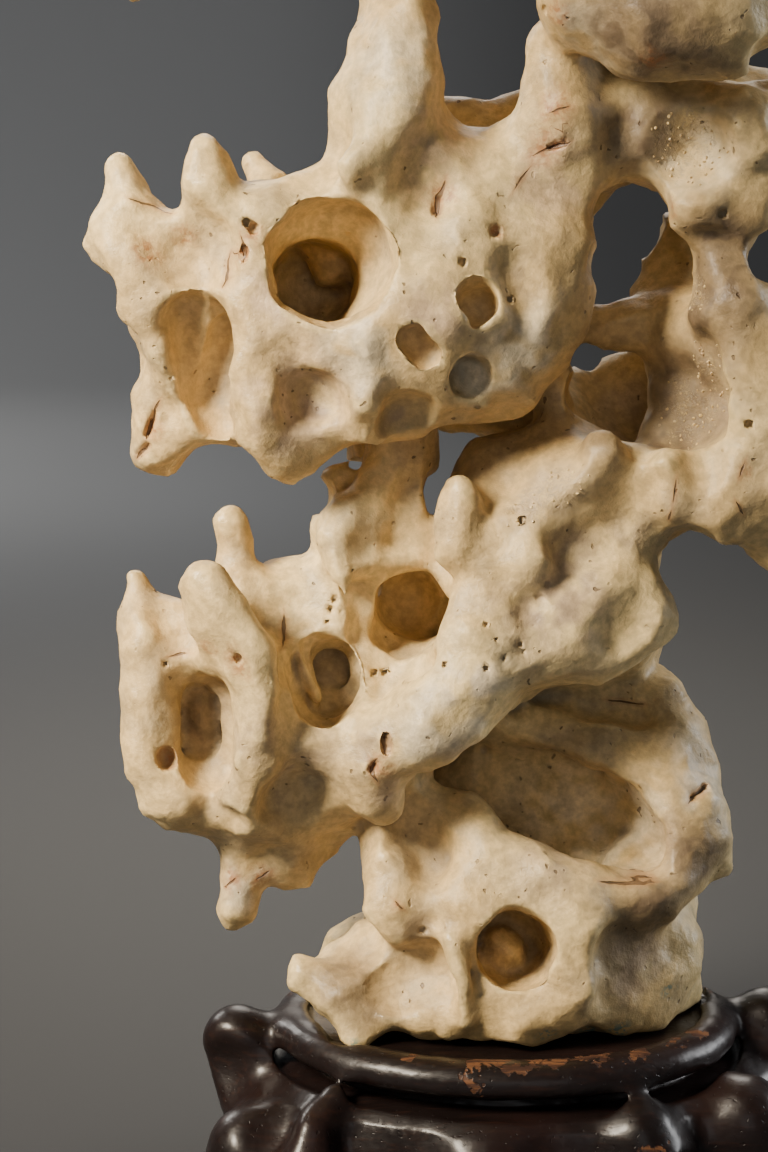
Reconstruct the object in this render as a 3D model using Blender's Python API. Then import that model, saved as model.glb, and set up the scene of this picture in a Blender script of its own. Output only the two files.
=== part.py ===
"""Scholar's rock on a carved wooden stand.

The stone is one natural piece of weathered cream calcite, full of hollows, windows, horns and
drips. It stands loosely in the oval seat of a low stand of dark lacquered wood. The part is
modelled in metres with +Z up. Its origin is the middle of the stand's underside, the stone's
broad face looks to -Y, and +X is to that face's right.

Both pieces are sculpted the same way. Lumps and hollows, which are chains of balls, are added
to and cut from a block of space one after another, each blended into what is there already.
The surface of the result is skinned and then thinned out to flat triangles.
"""

import math

import bpy
import numpy as np
import openvdb

# ---- driving dimensions, in millimetres unless the name says otherwise ----
SEAT_HEIGHT = 58.0  # floor of the stand's seat above the table
SEAT_GAP = 0.35  # air between the stone's toes and the seat
FIT_GAP = 1.8  # air between the stone and the rim that is carved to fit round it
RIM_HALF_WIDTH = 64.5  # middle line of the oval rim
RIM_HALF_DEPTH = 50.5
RIM_THICKNESS = 14.0  # across; the rim is a little less high than that
RIM_SQUASH = 1.15
RIM_DROP = 3.2  # middle of the rim below the seat's floor
SHOULDER_HEIGHT = 47.5  # top of the body
GROOVE_HEIGHT = 48.2
GROOVE_RADIUS = 2.8
BODY_HALF_WIDTH = 86.0  # body of the stand at its widest
BODY_HALF_DEPTH = 64.0

# The stone's elevation is drawn as a seated viewer sees it: "across" and "up" are measured on
# the upright middle plane, and each point then lies on its line of sight, "deep" behind that
# plane (in front of it where deep is negative).
EYE = (-37.2, -802.3, 343.8)

STONE_LOW = (-150.0, -80.0, 52.0)  # corners of the blocks of space that are sculpted
STONE_HIGH = (135.0, 90.0, 498.0)
STAND_LOW = (-102.0, -84.0, -4.0)
STAND_HIGH = (106.0, 84.0, 72.0)
STONE_GRID = 1.5  # spacing of the sculpting grid
STAND_GRID = 1.5
STONE_TRIANGLES = 7400
STAND_TRIANGLES = 2000

STONE_COLOUR = (0.72, 0.60, 0.43)
WOOD_COLOUR = (0.036, 0.016, 0.011)
MM = 0.001  # metres in a millimetre


class Clay:
    """A block of space that knows at each grid point how far a surface is; below 0 is solid."""

    def __init__(self, low, high, step, sighted):
        self.low = np.array(low)
        self.step = step
        self.sighted = sighted
        self.count = np.ceil((np.array(high) - self.low) / step).astype(int) + 1
        self.depth = np.full(self.count, 60.0, np.float32)

    def placed(self, ball):
        """A ball (x, y, z, radius) from one given across, up, deep and radius."""
        if not self.sighted:
            return ball
        across, up, deep, radius = ball
        reach = (deep - EYE[1]) / -EYE[1]
        x = EYE[0] + (across - EYE[0]) * reach
        z = EYE[2] + (up - EYE[2]) * reach
        return x, deep, z, radius * reach

    def points(self, where):
        spans = [self.low[i] + self.step * np.arange(where[i].start, where[i].stop) for i in range(3)]
        return [axis.astype(np.float32) for axis in np.meshgrid(*spans, indexing="ij", sparse=True)]

    def chain(self, balls, stretch):
        """Where the chain of balls can matter, and how far each grid point there is from it."""
        balls = np.array([self.placed(ball) for ball in balls])
        reach = balls[:, 3].max() * stretch + 16.0
        first = np.floor(((balls[:, :3] - reach).min(0) - self.low) / self.step).astype(int)
        last = np.ceil(((balls[:, :3] + reach).max(0) - self.low) / self.step).astype(int) + 1
        first = np.clip(first, 0, self.count)
        last = np.clip(last, 0, self.count)
        where = tuple(slice(a, b) for a, b in zip(first, last))
        if (last <= first).any():
            return where, None
        points = [axis / stretch[i] for i, axis in enumerate(self.points(where))]
        nearest = None
        for start, end in zip(balls, balls[1:] if len(balls) > 1 else balls):
            a = start[:3] / stretch
            along = end[:3] / stretch - a
            length = max(float(along @ along), 1e-9)
            t = np.clip(sum((points[i] - a[i]) * along[i] for i in range(3)) / length, 0.0, 1.0)
            gap = np.sqrt(sum((points[i] - a[i] - t * along[i]) ** 2 for i in range(3)))
            gap = (gap - start[3] - (end[3] - start[3]) * t) * stretch.min()
            nearest = gap if nearest is None else np.minimum(nearest, gap)
        return where, nearest

    def join(self, where, other, blend):
        here = self.depth[where]
        soft = np.maximum(blend - np.abs(here - other), 0.0) / blend
        self.depth[where] = np.minimum(here, other) - soft * soft * blend / 4

    def carve(self, where, other, blend):
        here = self.depth[where]
        soft = np.maximum(blend - np.abs(here + other), 0.0) / blend
        self.depth[where] = np.maximum(here, -other) + soft * soft * blend / 4

    def add(self, blend, *balls, stretch=(1, 1, 1)):
        where, gap = self.chain(balls, np.array(stretch, float))
        if gap is not None:
            self.join(where, gap, blend)

    def cut(self, blend, *balls, stretch=(1, 1, 1)):
        where, gap = self.chain(balls, np.array(stretch, float))
        if gap is not None:
            self.carve(where, gap, blend)

    def everywhere(self):
        where = tuple(slice(0, n) for n in self.count)
        return where, self.points(where)

    def roughen(self, amount):
        """Low waves all over, so that nothing stays a clean ball."""
        where, (x, y, z) = self.everywhere()
        broad = np.sin(x / 4.3 + 1.7 * np.sin(z / 7.9) + 0.6)
        broad = broad * np.sin(y / 4.9 + 1.3 * np.sin(x / 8.7)) * np.sin(z / 4.6 + 1.5 * np.sin(y / 8.3))
        fine = np.sin(x / 2.3 + 1.1 * np.sin(y / 3.9)) * np.sin(y / 2.5 + 1.2 * np.sin(z / 4.1))
        fine = fine * np.sin(z / 2.4 + 1.1 * np.sin(x / 4.3))
        self.depth[where] += amount * (broad + 0.25 * fine)


# ---- the stone, from the left lobe up and down; every ball is (across, up, deep, radius) ----


def upper_left(stone):
    """The large lobe at the upper left, with the column that rises from it."""
    # rim of lumps, then the filling, then the back
    stone.add(8, (-111.5, 295.5, -12, 12), (-95.5, 289, -16, 17), (-71, 296.5, -18, 18.5),
        (-48.5, 298, -18, 18), (-21, 298, -18, 20), (8.5, 294, -14, 17))
    stone.add(8, (10, 292.5, -14, 16), (6, 269, -16, 14), (-3, 256.5, -18, 15.5), (-23.5, 254, -20, 16),
        (-47.5, 250.5, -20, 17.5), (-64, 240.5, -20, 15), (-80, 252.5, -14, 15.5))
    stone.add(8, (-101.5, 278, -10, 14), (-97.5, 263, -6, 13), (-102, 242, -8, 11),
        (-102.5, 234.5, -8, 10), (-87.5, 246.5, -10, 14))
    stone.add(10, (-68, 272, -16, 25), (-26.5, 275, -18, 30), (-3, 278, -14, 25))
    stone.add(10, (-97.5, 278, 16, 17), (-71, 272, 22, 27), (-26.5, 278, 24, 28), (3, 283.5, 18, 21))
    # horns
    stone.add(5, (-114, 315.5, -10, 5.5), (-111.5, 304, -14, 10))
    stone.add(4, (-123.5, 294.5, -14, 3.5), (-116, 297.5, -14, 8))
    stone.add(6, (-88, 320.5, -24, 6.5), (-89, 310.5, -26, 8.5), (-84.5, 297.5, -26, 11))
    stone.add(4, (-75.5, 317.5, 4, 4), (-71, 310, 0, 8))
    # column above
    stone.add(8, (-33.5, 381, -4, 13), (-33.5, 358.5, -8, 12.5), (-36.5, 336, -14, 17.5),
        (-32.5, 312.5, -14, 22))
    stone.cut(3, (-77.5, 340.5, -60, 17.5), (-78.5, 345.5, 70, 23))
    # saddle between the column and the boulder
    stone.add(8, (-26.5, 307, -10, 20), (-3.5, 310, -10, 18.5), (18.5, 321.5, -8, 16))
    stone.add(8, (-26.5, 318.5, 16, 15), (-3.5, 318.5, 18, 17), (20, 324.5, 18, 17))
    stone.cut(2.5, (-8, 350, -60, 19), (-9, 359, 70, 12.5))
    stone.cut(2.5, (-9.5, 381, -60, 15.5), (-9.5, 381, 70, 15))
    stone.cut(2.5, (-8, 350, -60, 20), (-9.5, 381, -60, 15.5), stretch=(1, 1.5, 1))
    stone.add(6, (-19, 330.5, 16, 6), (-7, 328, 18, 8), (8.5, 333, 12, 7))
    # broad dish under the column
    stone.cut(4.5, (-25.5, 327, -44, 12), (-24, 310, -41, 12.5), (-25.5, 300.5, -46, 10))
    stone.add(8, (-30.5, 358.5, -18, 9), (-29.5, 341.5, -25, 8.5), (-36.5, 328.5, -31, 8),
        (-46, 316, -37, 5.5))
    # left flank
    stone.add(7, (-113.5, 292, -22, 7), (-109.5, 278, -22, 7), (-104, 264.5, -22, 6),
        (-99, 255.5, -20, 5))
    stone.cut(4.5, (-96.5, 292.5, -39, 16))
    stone.cut(3, (-94.5, 267.5, -38, 14), (-95, 254, -37, 12.5))
    stone.cut(2, (-87.5, 269, -36, 10), (-89.5, 258.5, -35, 11.5), (-90.5, 250, -32, 10))
    stone.cut(2, (-85, 270.5, -27, 6), (-85.5, 259.5, -25, 7), (-88, 250.5, -23, 7))
    stone.cut(2, (-84, 268.5, -19, 4), (-85, 259.5, -17, 5), (-87, 253, -16, 4.5))
    # main window
    stone.cut(2, (-53, 289, -37, 18.5), (-52, 289.5, -30, 17.5))
    stone.cut(2, (-57.5, 282.5, -22, 13), (-58.5, 282, 6, 12))
    # upright ridges
    stone.add(7, (-77, 280, -30, 6), (-76, 263, -32, 6), (-75, 248, -34, 8.5), (-73.5, 239, -32, 8))
    stone.add(6, (-43, 264.5, -41, 4.5), (-42.5, 248, -39, 5.5), (-42.5, 237, -32, 5.5))
    stone.add(6, (-65, 231.5, -26, 9), (-61.5, 226.5, -22, 6))
    # dents
    stone.cut(2.5, (-59, 247, -40, 10))
    stone.cut(2.5, (-30, 242, -37, 8.5))
    stone.cut(2.5, (-12, 238, -35, 8.5))
    stone.cut(3, (-63, 263, -46, 6.5))
    stone.cut(2.5, (3.5, 287, -43, 9.5), (6, 275, -44, 8.5))
    stone.cut(2.5, (-3.5, 316, -46, 12.5))
    stone.cut(2.5, (-71, 303, -43, 6))
    stone.cut(2.5, (-103, 303, -34, 8))
    # small pits
    stone.cut(1.5, (-9, 278, -40, 4.5), (-10.5, 274.5, -39, 5))
    stone.cut(1.5, (-28.5, 267, -45, 4), (-25.5, 262.5, -44, 4))
    stone.cut(1.5, (-11, 254, -37, 5.5))
    stone.add(2, (-10, 255.5, -31, 2.7))
    stone.cut(1.0, (-4.5, 298, -44, 2.1), (-4.5, 298, -34, 1.8))
    # lower edge scallops
    stone.cut(2.5, (-85.5, 220.5, -60, 13), (-85.5, 220.5, 60, 15))
    stone.cut(2.5, (-46, 223, -60, 10), (-47.5, 224, 60, 12))
    stone.cut(2.5, (-20.5, 228, -60, 9.5), (-17.5, 227, 0, 9.5))
    # right edge
    stone.cut(2.5, (40.5, 278, -60, 15), (41.5, 283.5, -14, 15))
    # left edge notches
    stone.cut(2, (-122.5, 256.5, -60, 8.5), (-121, 256.5, 60, 9))
    stone.cut(2, (-121.5, 280.5, -60, 4), (-121.5, 280.5, 60, 4))


def upper_right(stone):
    """The limb, windows and hanging boulder at the upper right."""
    # recessed middle part
    stone.add(8, (25.5, 336, -2, 15.5), (45.5, 325.5, -8, 18.5), (68, 321, -8, 20), (84, 327, -4, 18))
    stone.add(8, (28.5, 336, 26, 14.5), (52, 330, 30, 20), (81, 324.5, 26, 18.5))
    # boulder hanging in front
    stone.add(6, (21.5, 365, -34, 15.5), (39.5, 361.5, -38, 21), (57.5, 362, -36, 22),
        (71, 372.5, -28, 21))
    stone.add(8, (25, 375.5, -10, 21), (54, 375.5, -6, 27), (82.5, 381, -6, 27))
    # root of the boulder towards the notch
    stone.add(7, (12.5, 350, -16, 9.5), (14.5, 330, -18, 14), (20, 315.5, -14, 10))
    # right limb
    stone.add(7, (55, 307, -20, 11), (68.5, 305.5, -16, 11.5))
    stone.add(7, (67, 327.5, -20, 12.5))
    stone.add(7, (62, 292.5, -16, 10), (66.5, 275, -18, 14.5), (74, 251, -16, 18.5),
        (76.5, 227, -16, 19))
    stone.add(8, (82.5, 278, -2, 13), (86, 254, 0, 18), (87, 224, 0, 18))
    stone.add(8, (61.5, 278, 20, 13), (68.5, 242, 24, 20), (54, 227, 22, 17))
    stone.add(4, (68.5, 296, 6, 5.5))
    # knob behind the window
    stone.add(6, (46, 292, 26, 11.5), (46.5, 280.5, 20, 11.5))
    # bridge between the windows, set back
    stone.add(6, (13.5, 270.5, 4, 8), (29.5, 269.5, 6, 7), (44, 270.5, 6, 10), (53, 269, 0, 12))
    # floor under the lower window, and the sugary wall beside it
    stone.add(7, (15.5, 223.5, -12, 13), (30, 221, -18, 14), (45, 220.5, -18, 13), (63, 218, -20, 14))
    stone.add(8, (18, 224, 18, 14), (39, 221, 20, 14.5), (63, 218, 16, 15))
    stone.add(7, (18.5, 236, -2, 8), (17, 248, 4, 9.5), (15, 263, 4, 9.5))
    stone.add(7, (54, 280.5, 15, 11.5), (54, 263, 9, 13), (53.5, 248, 7, 14), (51.5, 233, 2, 13))
    # windows
    stone.cut(2, (36, 303.5, -60, 12.5), (35, 300.5, -14, 11), (33.5, 299.5, 60, 8.5))
    stone.cut(2, (34.5, 292.5, -60, 9.5), (30.5, 287, 0, 8), (28.5, 286, 60, 7))
    stone.cut(3, (41.5, 289, -56, 10), (40.5, 283, -24, 10))
    stone.cut(3, (32.5, 276, -44, 8.5), (41, 276, -24, 8.5))
    stone.cut(2, (29, 249, -60, 14), (29, 248, 0, 12), (29, 249, 16, 11))
    stone.add(8, (27, 247.5, 42, 13), (41.5, 253, 42, 14))
    stone.cut(2, (22.5, 260, -20, 4), (22.5, 260, 60, 3.5))
    # sugary bowl
    stone.cut(2.5, (52.5, 258.5, -23, 9.5), (54.5, 246.5, -21, 12.5))
    stone.cut(4.5, (52, 321.5, -31, 12.5))
    stone.cut(1.5, (12, 362, -47, 2.1), (10.5, 359, -47, 1.8))
    # hollow beyond the limb, at the right
    stone.cut(2.5, (77.5, 290, -50, 7), (77.5, 290, 50, 7))
    stone.cut(2.5, (75.5, 345.5, -50, 7), (76.5, 345.5, -10, 6))
    # ridges of the lower edge
    stone.add(6, (28.5, 232, -28, 5), (24, 222.5, -28, 4.5))
    stone.add(6, (48.5, 228.5, -28, 6), (50, 216.5, -26, 6.5))
    stone.add(6, (68, 227, -28, 7), (62, 214.5, -26, 6.5))
    stone.add(7, (78.5, 218, -18, 12.5), (82.5, 203.5, -14, 10), (87.5, 191, -6, 7))
    stone.cut(3, (39, 224, -39, 8.5))
    stone.cut(4, (65.5, 262.5, -40, 8), (75.5, 261, -38, 7))
    stone.cut(3, (54.5, 199, -60, 10), (54.5, 198, 60, 10))
    stone.cut(2.5, (69.5, 189.5, -60, 11), (69.5, 189.5, 60, 11))


def column(stone):
    """The thin column between the two left lobes."""
    stone.add(8, (-32, 236, 0, 11.5), (-31, 221, -4, 10), (-36, 206, -6, 12.5), (-39.5, 191, -6, 11))
    stone.add(8, (-47, 210.5, -4, 12), (-47.5, 200, -4, 11), (-45.5, 191, -8, 9))
    stone.add(6, (-48, 221, 2, 9.5), (-47.5, 206, 12, 10))
    stone.add(7, (-25, 206, -4, 8), (-18.5, 195.5, -10, 6.5), (-14, 191, -16, 6))
    stone.add(8, (-37, 233, 20, 12), (-34, 209, 26, 15.5), (-26.5, 191, 26, 17))
    stone.cut(4, (-29.5, 222, -17, 7), (-31, 205.5, -21, 7))
    stone.add(6, (-48.5, 212, -14, 7), (-48.5, 199.5, -15, 6.5), (-50.5, 192, -13, 3.5))
    stone.cut(2.5, (-46.5, 223.5, -12, 7.5))
    stone.cut(1.5, (-44.5, 228.5, -16, 1.5), (-44.5, 228.5, 40, 1.5), stretch=(2.6, 1, 1))
    stone.cut(2, (-58, 219.5, -50, 5), (-58, 219.5, 60, 5))
    stone.cut(2, (-23, 224, -50, 2.1), (-23.5, 218, -50, 2.4), (-21.5, 213.5, -50, 1.8))
    stone.cut(2, (-22.5, 224, 20, 2.1), (-22.5, 218, 20, 2.4), (-21, 213.5, 20, 1.8))
    stone.cut(2, (-23, 219.5, -50, 2.7), (-22.5, 219, 60, 2.7), stretch=(1, 1, 2.4))


def centre(stone):
    """The knotted middle."""
    stone.add(8, (-2.5, 224, 0, 15), (15, 227, 0, 16), (30, 221, -10, 14.5), (33.5, 206, -12, 12))
    stone.add(8, (-2.5, 209, -14, 16), (11, 200, -16, 17), (24.5, 200, -16, 15.5))
    stone.add(8, (3.5, 184.5, -20, 15.5), (25, 183, -20, 17), (37.5, 184, -18, 14.5),
        (28, 175.5, -22, 12))
    stone.add(8, (15, 230, 26, 18), (27.5, 209, 26, 18.5), (25, 181.5, 22, 18))
    stone.add(8, (10, 175.5, 10, 15), (34, 178.5, 10, 13))
    stone.add(8, (-14, 217, -24, 7.5), (-13.5, 205, -27, 8.5), (-6.5, 200, -26, 7))
    # ridges and hollows on its face
    stone.cut(5, (1.5, 229.5, -34, 17))
    stone.cut(5, (11.5, 219, -36, 8))
    stone.add(7, (27.5, 232.5, -24, 5), (22, 221, -26, 5), (16, 212, -25, 3.5))
    stone.cut(4, (-2.5, 189.5, -37, 6.5), (4.5, 187, -39, 6.5))
    stone.cut(7, (19, 202.5, -36, 10))
    stone.add(7, (13, 219, -20, 10), (6, 209.5, -27, 7.5), (7, 200.5, -33, 4.5), (6.5, 195.5, -32, 3.5))
    stone.cut(4, (-8, 215, -39, 6), (-7, 204, -40, 7))
    stone.add(5, (-14, 221, -28, 4), (-18, 212, -27, 3.5), (-16, 202.5, -28, 4.5), (-11.5, 198, -29, 4))
    stone.cut(8, (34, 211.5, -36, 10))
    stone.cut(8, (34.5, 175.5, -39, 10))
    stone.cut(8, (2.5, 172.5, -44, 10), (-2, 158, -47, 7))


def arm(stone):
    """The arm that runs down to the left across the front."""
    stone.add(7, (-6.5, 186.5, -28, 9.5), (-10, 175.5, -30, 12.5), (-12.5, 163, -32, 12.5),
        (-23.5, 150, -34, 14), (-35.5, 143, -30, 13))
    stone.add(8, (16, 176.5, -22, 14.5), (-2, 169.5, -26, 13), (-14, 157, -28, 14))
    stone.add(8, (4, 175.5, 0, 15), (-17, 160, -4, 15), (-32.5, 147.5, -4, 15))
    stone.add(6, (-41, 137.5, -26, 11), (-38.5, 126.5, -26, 8))
    stone.cut(3, (-25, 164.5, -52, 6.5))
    stone.cut(2, (-40, 140.5, -46, 2.4), (-38.5, 144, -46, 2.1))
    stone.cut(2.5, (-24, 130, -64, 6))
    stone.cut(2.5, (-29.5, 186, -40, 11), (-29, 186, 4, 10))
    stone.cut(2.5, (-33, 178.5, -34, 9), (-32, 179, -10, 9))
    stone.cut(2.5, (-44.5, 140.5, -43, 4))


def left_lobe(stone):
    """The lower left lobe with its fingers and drips."""
    # body
    stone.add(7, (-107, 174, -18, 10), (-108, 157, -20, 10), (-107, 136.5, -22, 10),
        (-101, 128, -22, 12))
    stone.add(7, (-88, 175.5, -20, 12), (-74, 160, -22, 14.5), (-74, 143, -24, 15),
        (-78, 125.5, -22, 12.5))
    stone.add(8, (-65.5, 186, -6, 12.5), (-50.5, 186, -6, 12), (-53.5, 166, -8, 18.5),
        (-53.5, 146, -18, 17), (-41.5, 141.5, -18, 15.5))
    stone.add(8, (-91.5, 160, 16, 18.5), (-91.5, 141.5, 16, 18.5), (-68.5, 163, 14, 23),
        (-41.5, 166, 14, 21))
    stone.add(8, (-93, 144.5, 30, 16), (-65.5, 157, 34, 20), (-41.5, 169.5, 30, 18))
    stone.add(7, (-41.5, 175.5, 2, 11), (-32.5, 167, -4, 13), (-23.5, 163, -16, 12))
    stone.add(8, (-93.5, 125.5, -14, 10), (-66, 125.5, -12, 14), (-50.5, 132, -14, 13))
    # spikes along its top
    stone.add(6, (-111.5, 194, -12, 3.5), (-110, 184, -14, 7), (-108, 172.5, -16, 10))
    stone.add(6, (-91.5, 192, -32, 7), (-89, 181.5, -32, 9), (-81, 171, -30, 10))
    stone.add(5, (-83, 210.5, -8, 5.5), (-81.5, 200, -8, 7), (-77.5, 188, -8, 10))
    stone.add(5, (-70, 195.5, 0, 5.5), (-58, 194.5, 2, 6.5))
    stone.add(8, (-107.5, 180, -8, 8), (-95.5, 175.5, -10, 11))
    # ridge beside the upright hollow
    stone.add(7, (-80.5, 168, -32, 6), (-77, 154, -32, 6.5), (-78, 138, -34, 6.5), (-79, 125.5, -32, 6))
    # hollows
    stone.cut(2.5, (-91, 157.5, -38, 8.5), (-91.5, 137, -38, 8.5))
    stone.cut(2, (-90, 156.5, -27, 8), (-90.5, 137.5, -27, 8))
    stone.cut(3, (-99, 155.5, -40, 11), (-98, 140.5, -40, 9.5))
    stone.cut(3, (-103.5, 186, -25, 6.5), (-98.5, 176, -29, 5.5))
    stone.cut(4, (-65, 188.5, -25, 10))
    stone.cut(1.2, (-103, 139, -36, 2.4), (-103, 138, -26, 2.1))
    stone.cut(2, (-55.5, 168, -26, 10.5), (-54.5, 160, -26, 10.5))
    stone.cut(2, (-53, 167, -16, 8), (-53, 160, -15, 8))
    stone.cut(2, (-53, 167, -4, 6), (-53, 164.5, 2, 5.5))
    stone.add(3, (-62, 172.5, -15, 3), (-60, 164.5, -13, 3.5), (-58.5, 156.5, -14, 2.7))
    stone.cut(1.2, (-67, 183, -32, 1.5), (-67, 176, -32, 1.5), (-67, 179, -18, 1.2))
    # scooped underside with its hanging drips
    stone.add(6, (-81, 114.5, -10, 9), (-80, 104, -10, 9), (-83, 92.5, -12, 7.5))
    stone.add(6, (-69, 113, -8, 12), (-63, 105, -6, 8.5), (-65.5, 101.5, -6, 6))
    stone.add(6, (-53.5, 122.5, -6, 10), (-58, 113, -4, 8))
    stone.cut(4, (-62, 124, -36, 11.5))
    stone.cut(3, (-85.5, 117.5, -36, 6))
    stone.cut(2.5, (-54, 91.5, -50, 8), (-48, 99, 0, 9), (-48, 99, 50, 9))
    stone.cut(2.5, (-98.5, 103, -50, 11), (-98.5, 103, 60, 11))


def lower_right(stone):
    """The deep basin above the foot."""
    # back wall
    stone.add(8, (43.5, 154.5, 14, 13), (48, 143, 8, 15), (50.5, 125.5, 4, 15), (52, 111, 0, 14),
        (41, 100.5, -6, 13))
    stone.add(8, (28, 153, 20, 15.5), (7, 147.5, 22, 14), (28.5, 135, 26, 19))
    stone.add(8, (-8, 132, 20, 13), (10.5, 113, 26, 21), (35, 113, 24, 20), (16.5, 129, 34, 19))
    stone.add(8, (-23, 116, 14, 15), (-8, 103.5, 10, 18), (17, 94, 10, 20), (41.5, 94, 10, 15))
    # front rim of the basin
    stone.add(7, (-28, 120, -10, 12), (-13.5, 120.5, -12, 9), (-5.5, 108, -20, 10),
        (10.5, 100.5, -24, 11), (24.5, 89, -24, 11))
    stone.add(7, (-31, 110, -12, 12.5), (-25, 92.5, -18, 13), (-7.5, 92.5, -22, 14.5),
        (14, 84.5, -24, 15))
    stone.add(7, (29, 92.5, -20, 11.5), (44.5, 97, -18, 11), (53.5, 106, -12, 9.5), (56, 116, -10, 9))
    # fin to the right
    stone.add(6, (59, 125.5, -4, 7), (62.5, 113.5, -4, 7), (66, 105, -4, 5))
    # ledge
    stone.add(7, (-4.5, 149.5, 8, 6), (15, 148, 3, 6.5), (33, 140.5, -1, 9), (47.5, 129, -5, 10),
        (54.5, 113.5, -8, 9))
    # hollows
    stone.cut(2.5, (13, 124.5, -36, 16), (32.5, 114.5, -28, 13.5), (43, 110, -24, 9))
    stone.cut(2.5, (6.5, 130, -20, 12), (28.5, 122, -8, 12.5), (40.5, 112.5, -12, 8.5))
    stone.cut(2.5, (11.5, 157, -4, 5.5), (27, 157, 1, 6), (39, 153, -1, 5))
    stone.cut(3, (-30, 121, -27, 11), (-27.5, 110, -27, 11.5))
    stone.cut(2, (-7, 140.5, -60, 3.5), (-7.5, 142, 60, 3))
    stone.cut(2.5, (50, 79.5, -60, 6.5), (50, 79.5, -26, 6))
    # knob of the left rim
    stone.add(9, (-36, 103.5, -22, 7), (-35.5, 92.5, -26, 8.5), (-33, 88.5, -26, 7.5))


def foot_core(stone):
    """The bulk of the foot."""
    stone.add(6, (-49, 65, -14, 9), (-32.5, 69, -12, 15.5), (-1.5, 75, -12, 23.5), (26.5, 75, -6, 23),
        (39, 73, 6, 18.5))
    stone.add(8, (-32.5, 66.5, 20, 15.5), (-1.5, 73, 24, 23.5), (29.5, 72, 22, 21.5))


def foot(stone):
    """The toes, the fin and the round hole of the foot."""
    # outline lumps
    stone.add(6, (-62, 71, -18, 6.5), (-52.5, 66.5, -18, 9))
    stone.add(7, (-51, 72, -8, 8), (-41, 78.5, -8, 10))
    stone.add(6, (-49.5, 60.5, -24, 8.5), (-47, 51, -28, 6))
    stone.add(7, (-32.5, 62, -22, 12), (-18.5, 58.5, -26, 9), (-16, 53.5, -30, 6.5))
    stone.add(8, (-1.5, 62, -24, 12.5), (8, 58, -30, 11), (23.5, 66.5, -26, 14))
    stone.add(7, (42, 68.5, -6, 15.5), (48, 78, -2, 14), (42, 62, -14, 11), (37.5, 59.5, -18, 8.5))
    stone.add(8, (23, 91, -24, 12.5), (25, 75, -28, 11))
    # shades between them
    stone.cut(2.5, (-33, 66.5, -35, 11), (-23, 71.5, -33, 8))
    stone.cut(3, (-24.5, 84.5, -38, 5.5))
    stone.cut(2, (-55, 58.5, -38, 3.5))
    stone.cut(2.5, (-33, 44.5, -60, 6), (-33, 44.5, 0, 6))
    stone.cut(2.5, (-3.5, 42.5, -60, 6), (-3.5, 42.5, -10, 6))
    stone.cut(2.5, (27.5, 44.5, -60, 6.5), (27.5, 44.5, -10, 6.5))
    stone.cut(6, (38.5, 77.5, -35, 9.5), (36.5, 62, -36, 7))
    stone.add(7, (50.5, 98.5, -16, 4), (46.5, 87.5, -18, 3), (44.5, 78, -14, 2.4))
    # round blind hole
    stone.cut(2, (3.5, 77.5, -46, 12), (3, 78.5, -26, 11.5), (1, 81, -14, 10))
    # fin
    stone.add(4, (-16.5, 83, -34, 4), (-13, 68.5, -38, 3), (-12, 55.5, -36, 3.5))
    stone.cut(1.0, (-45, 76, -36, 1.8), (-45, 76, -22, 1.5))


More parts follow.
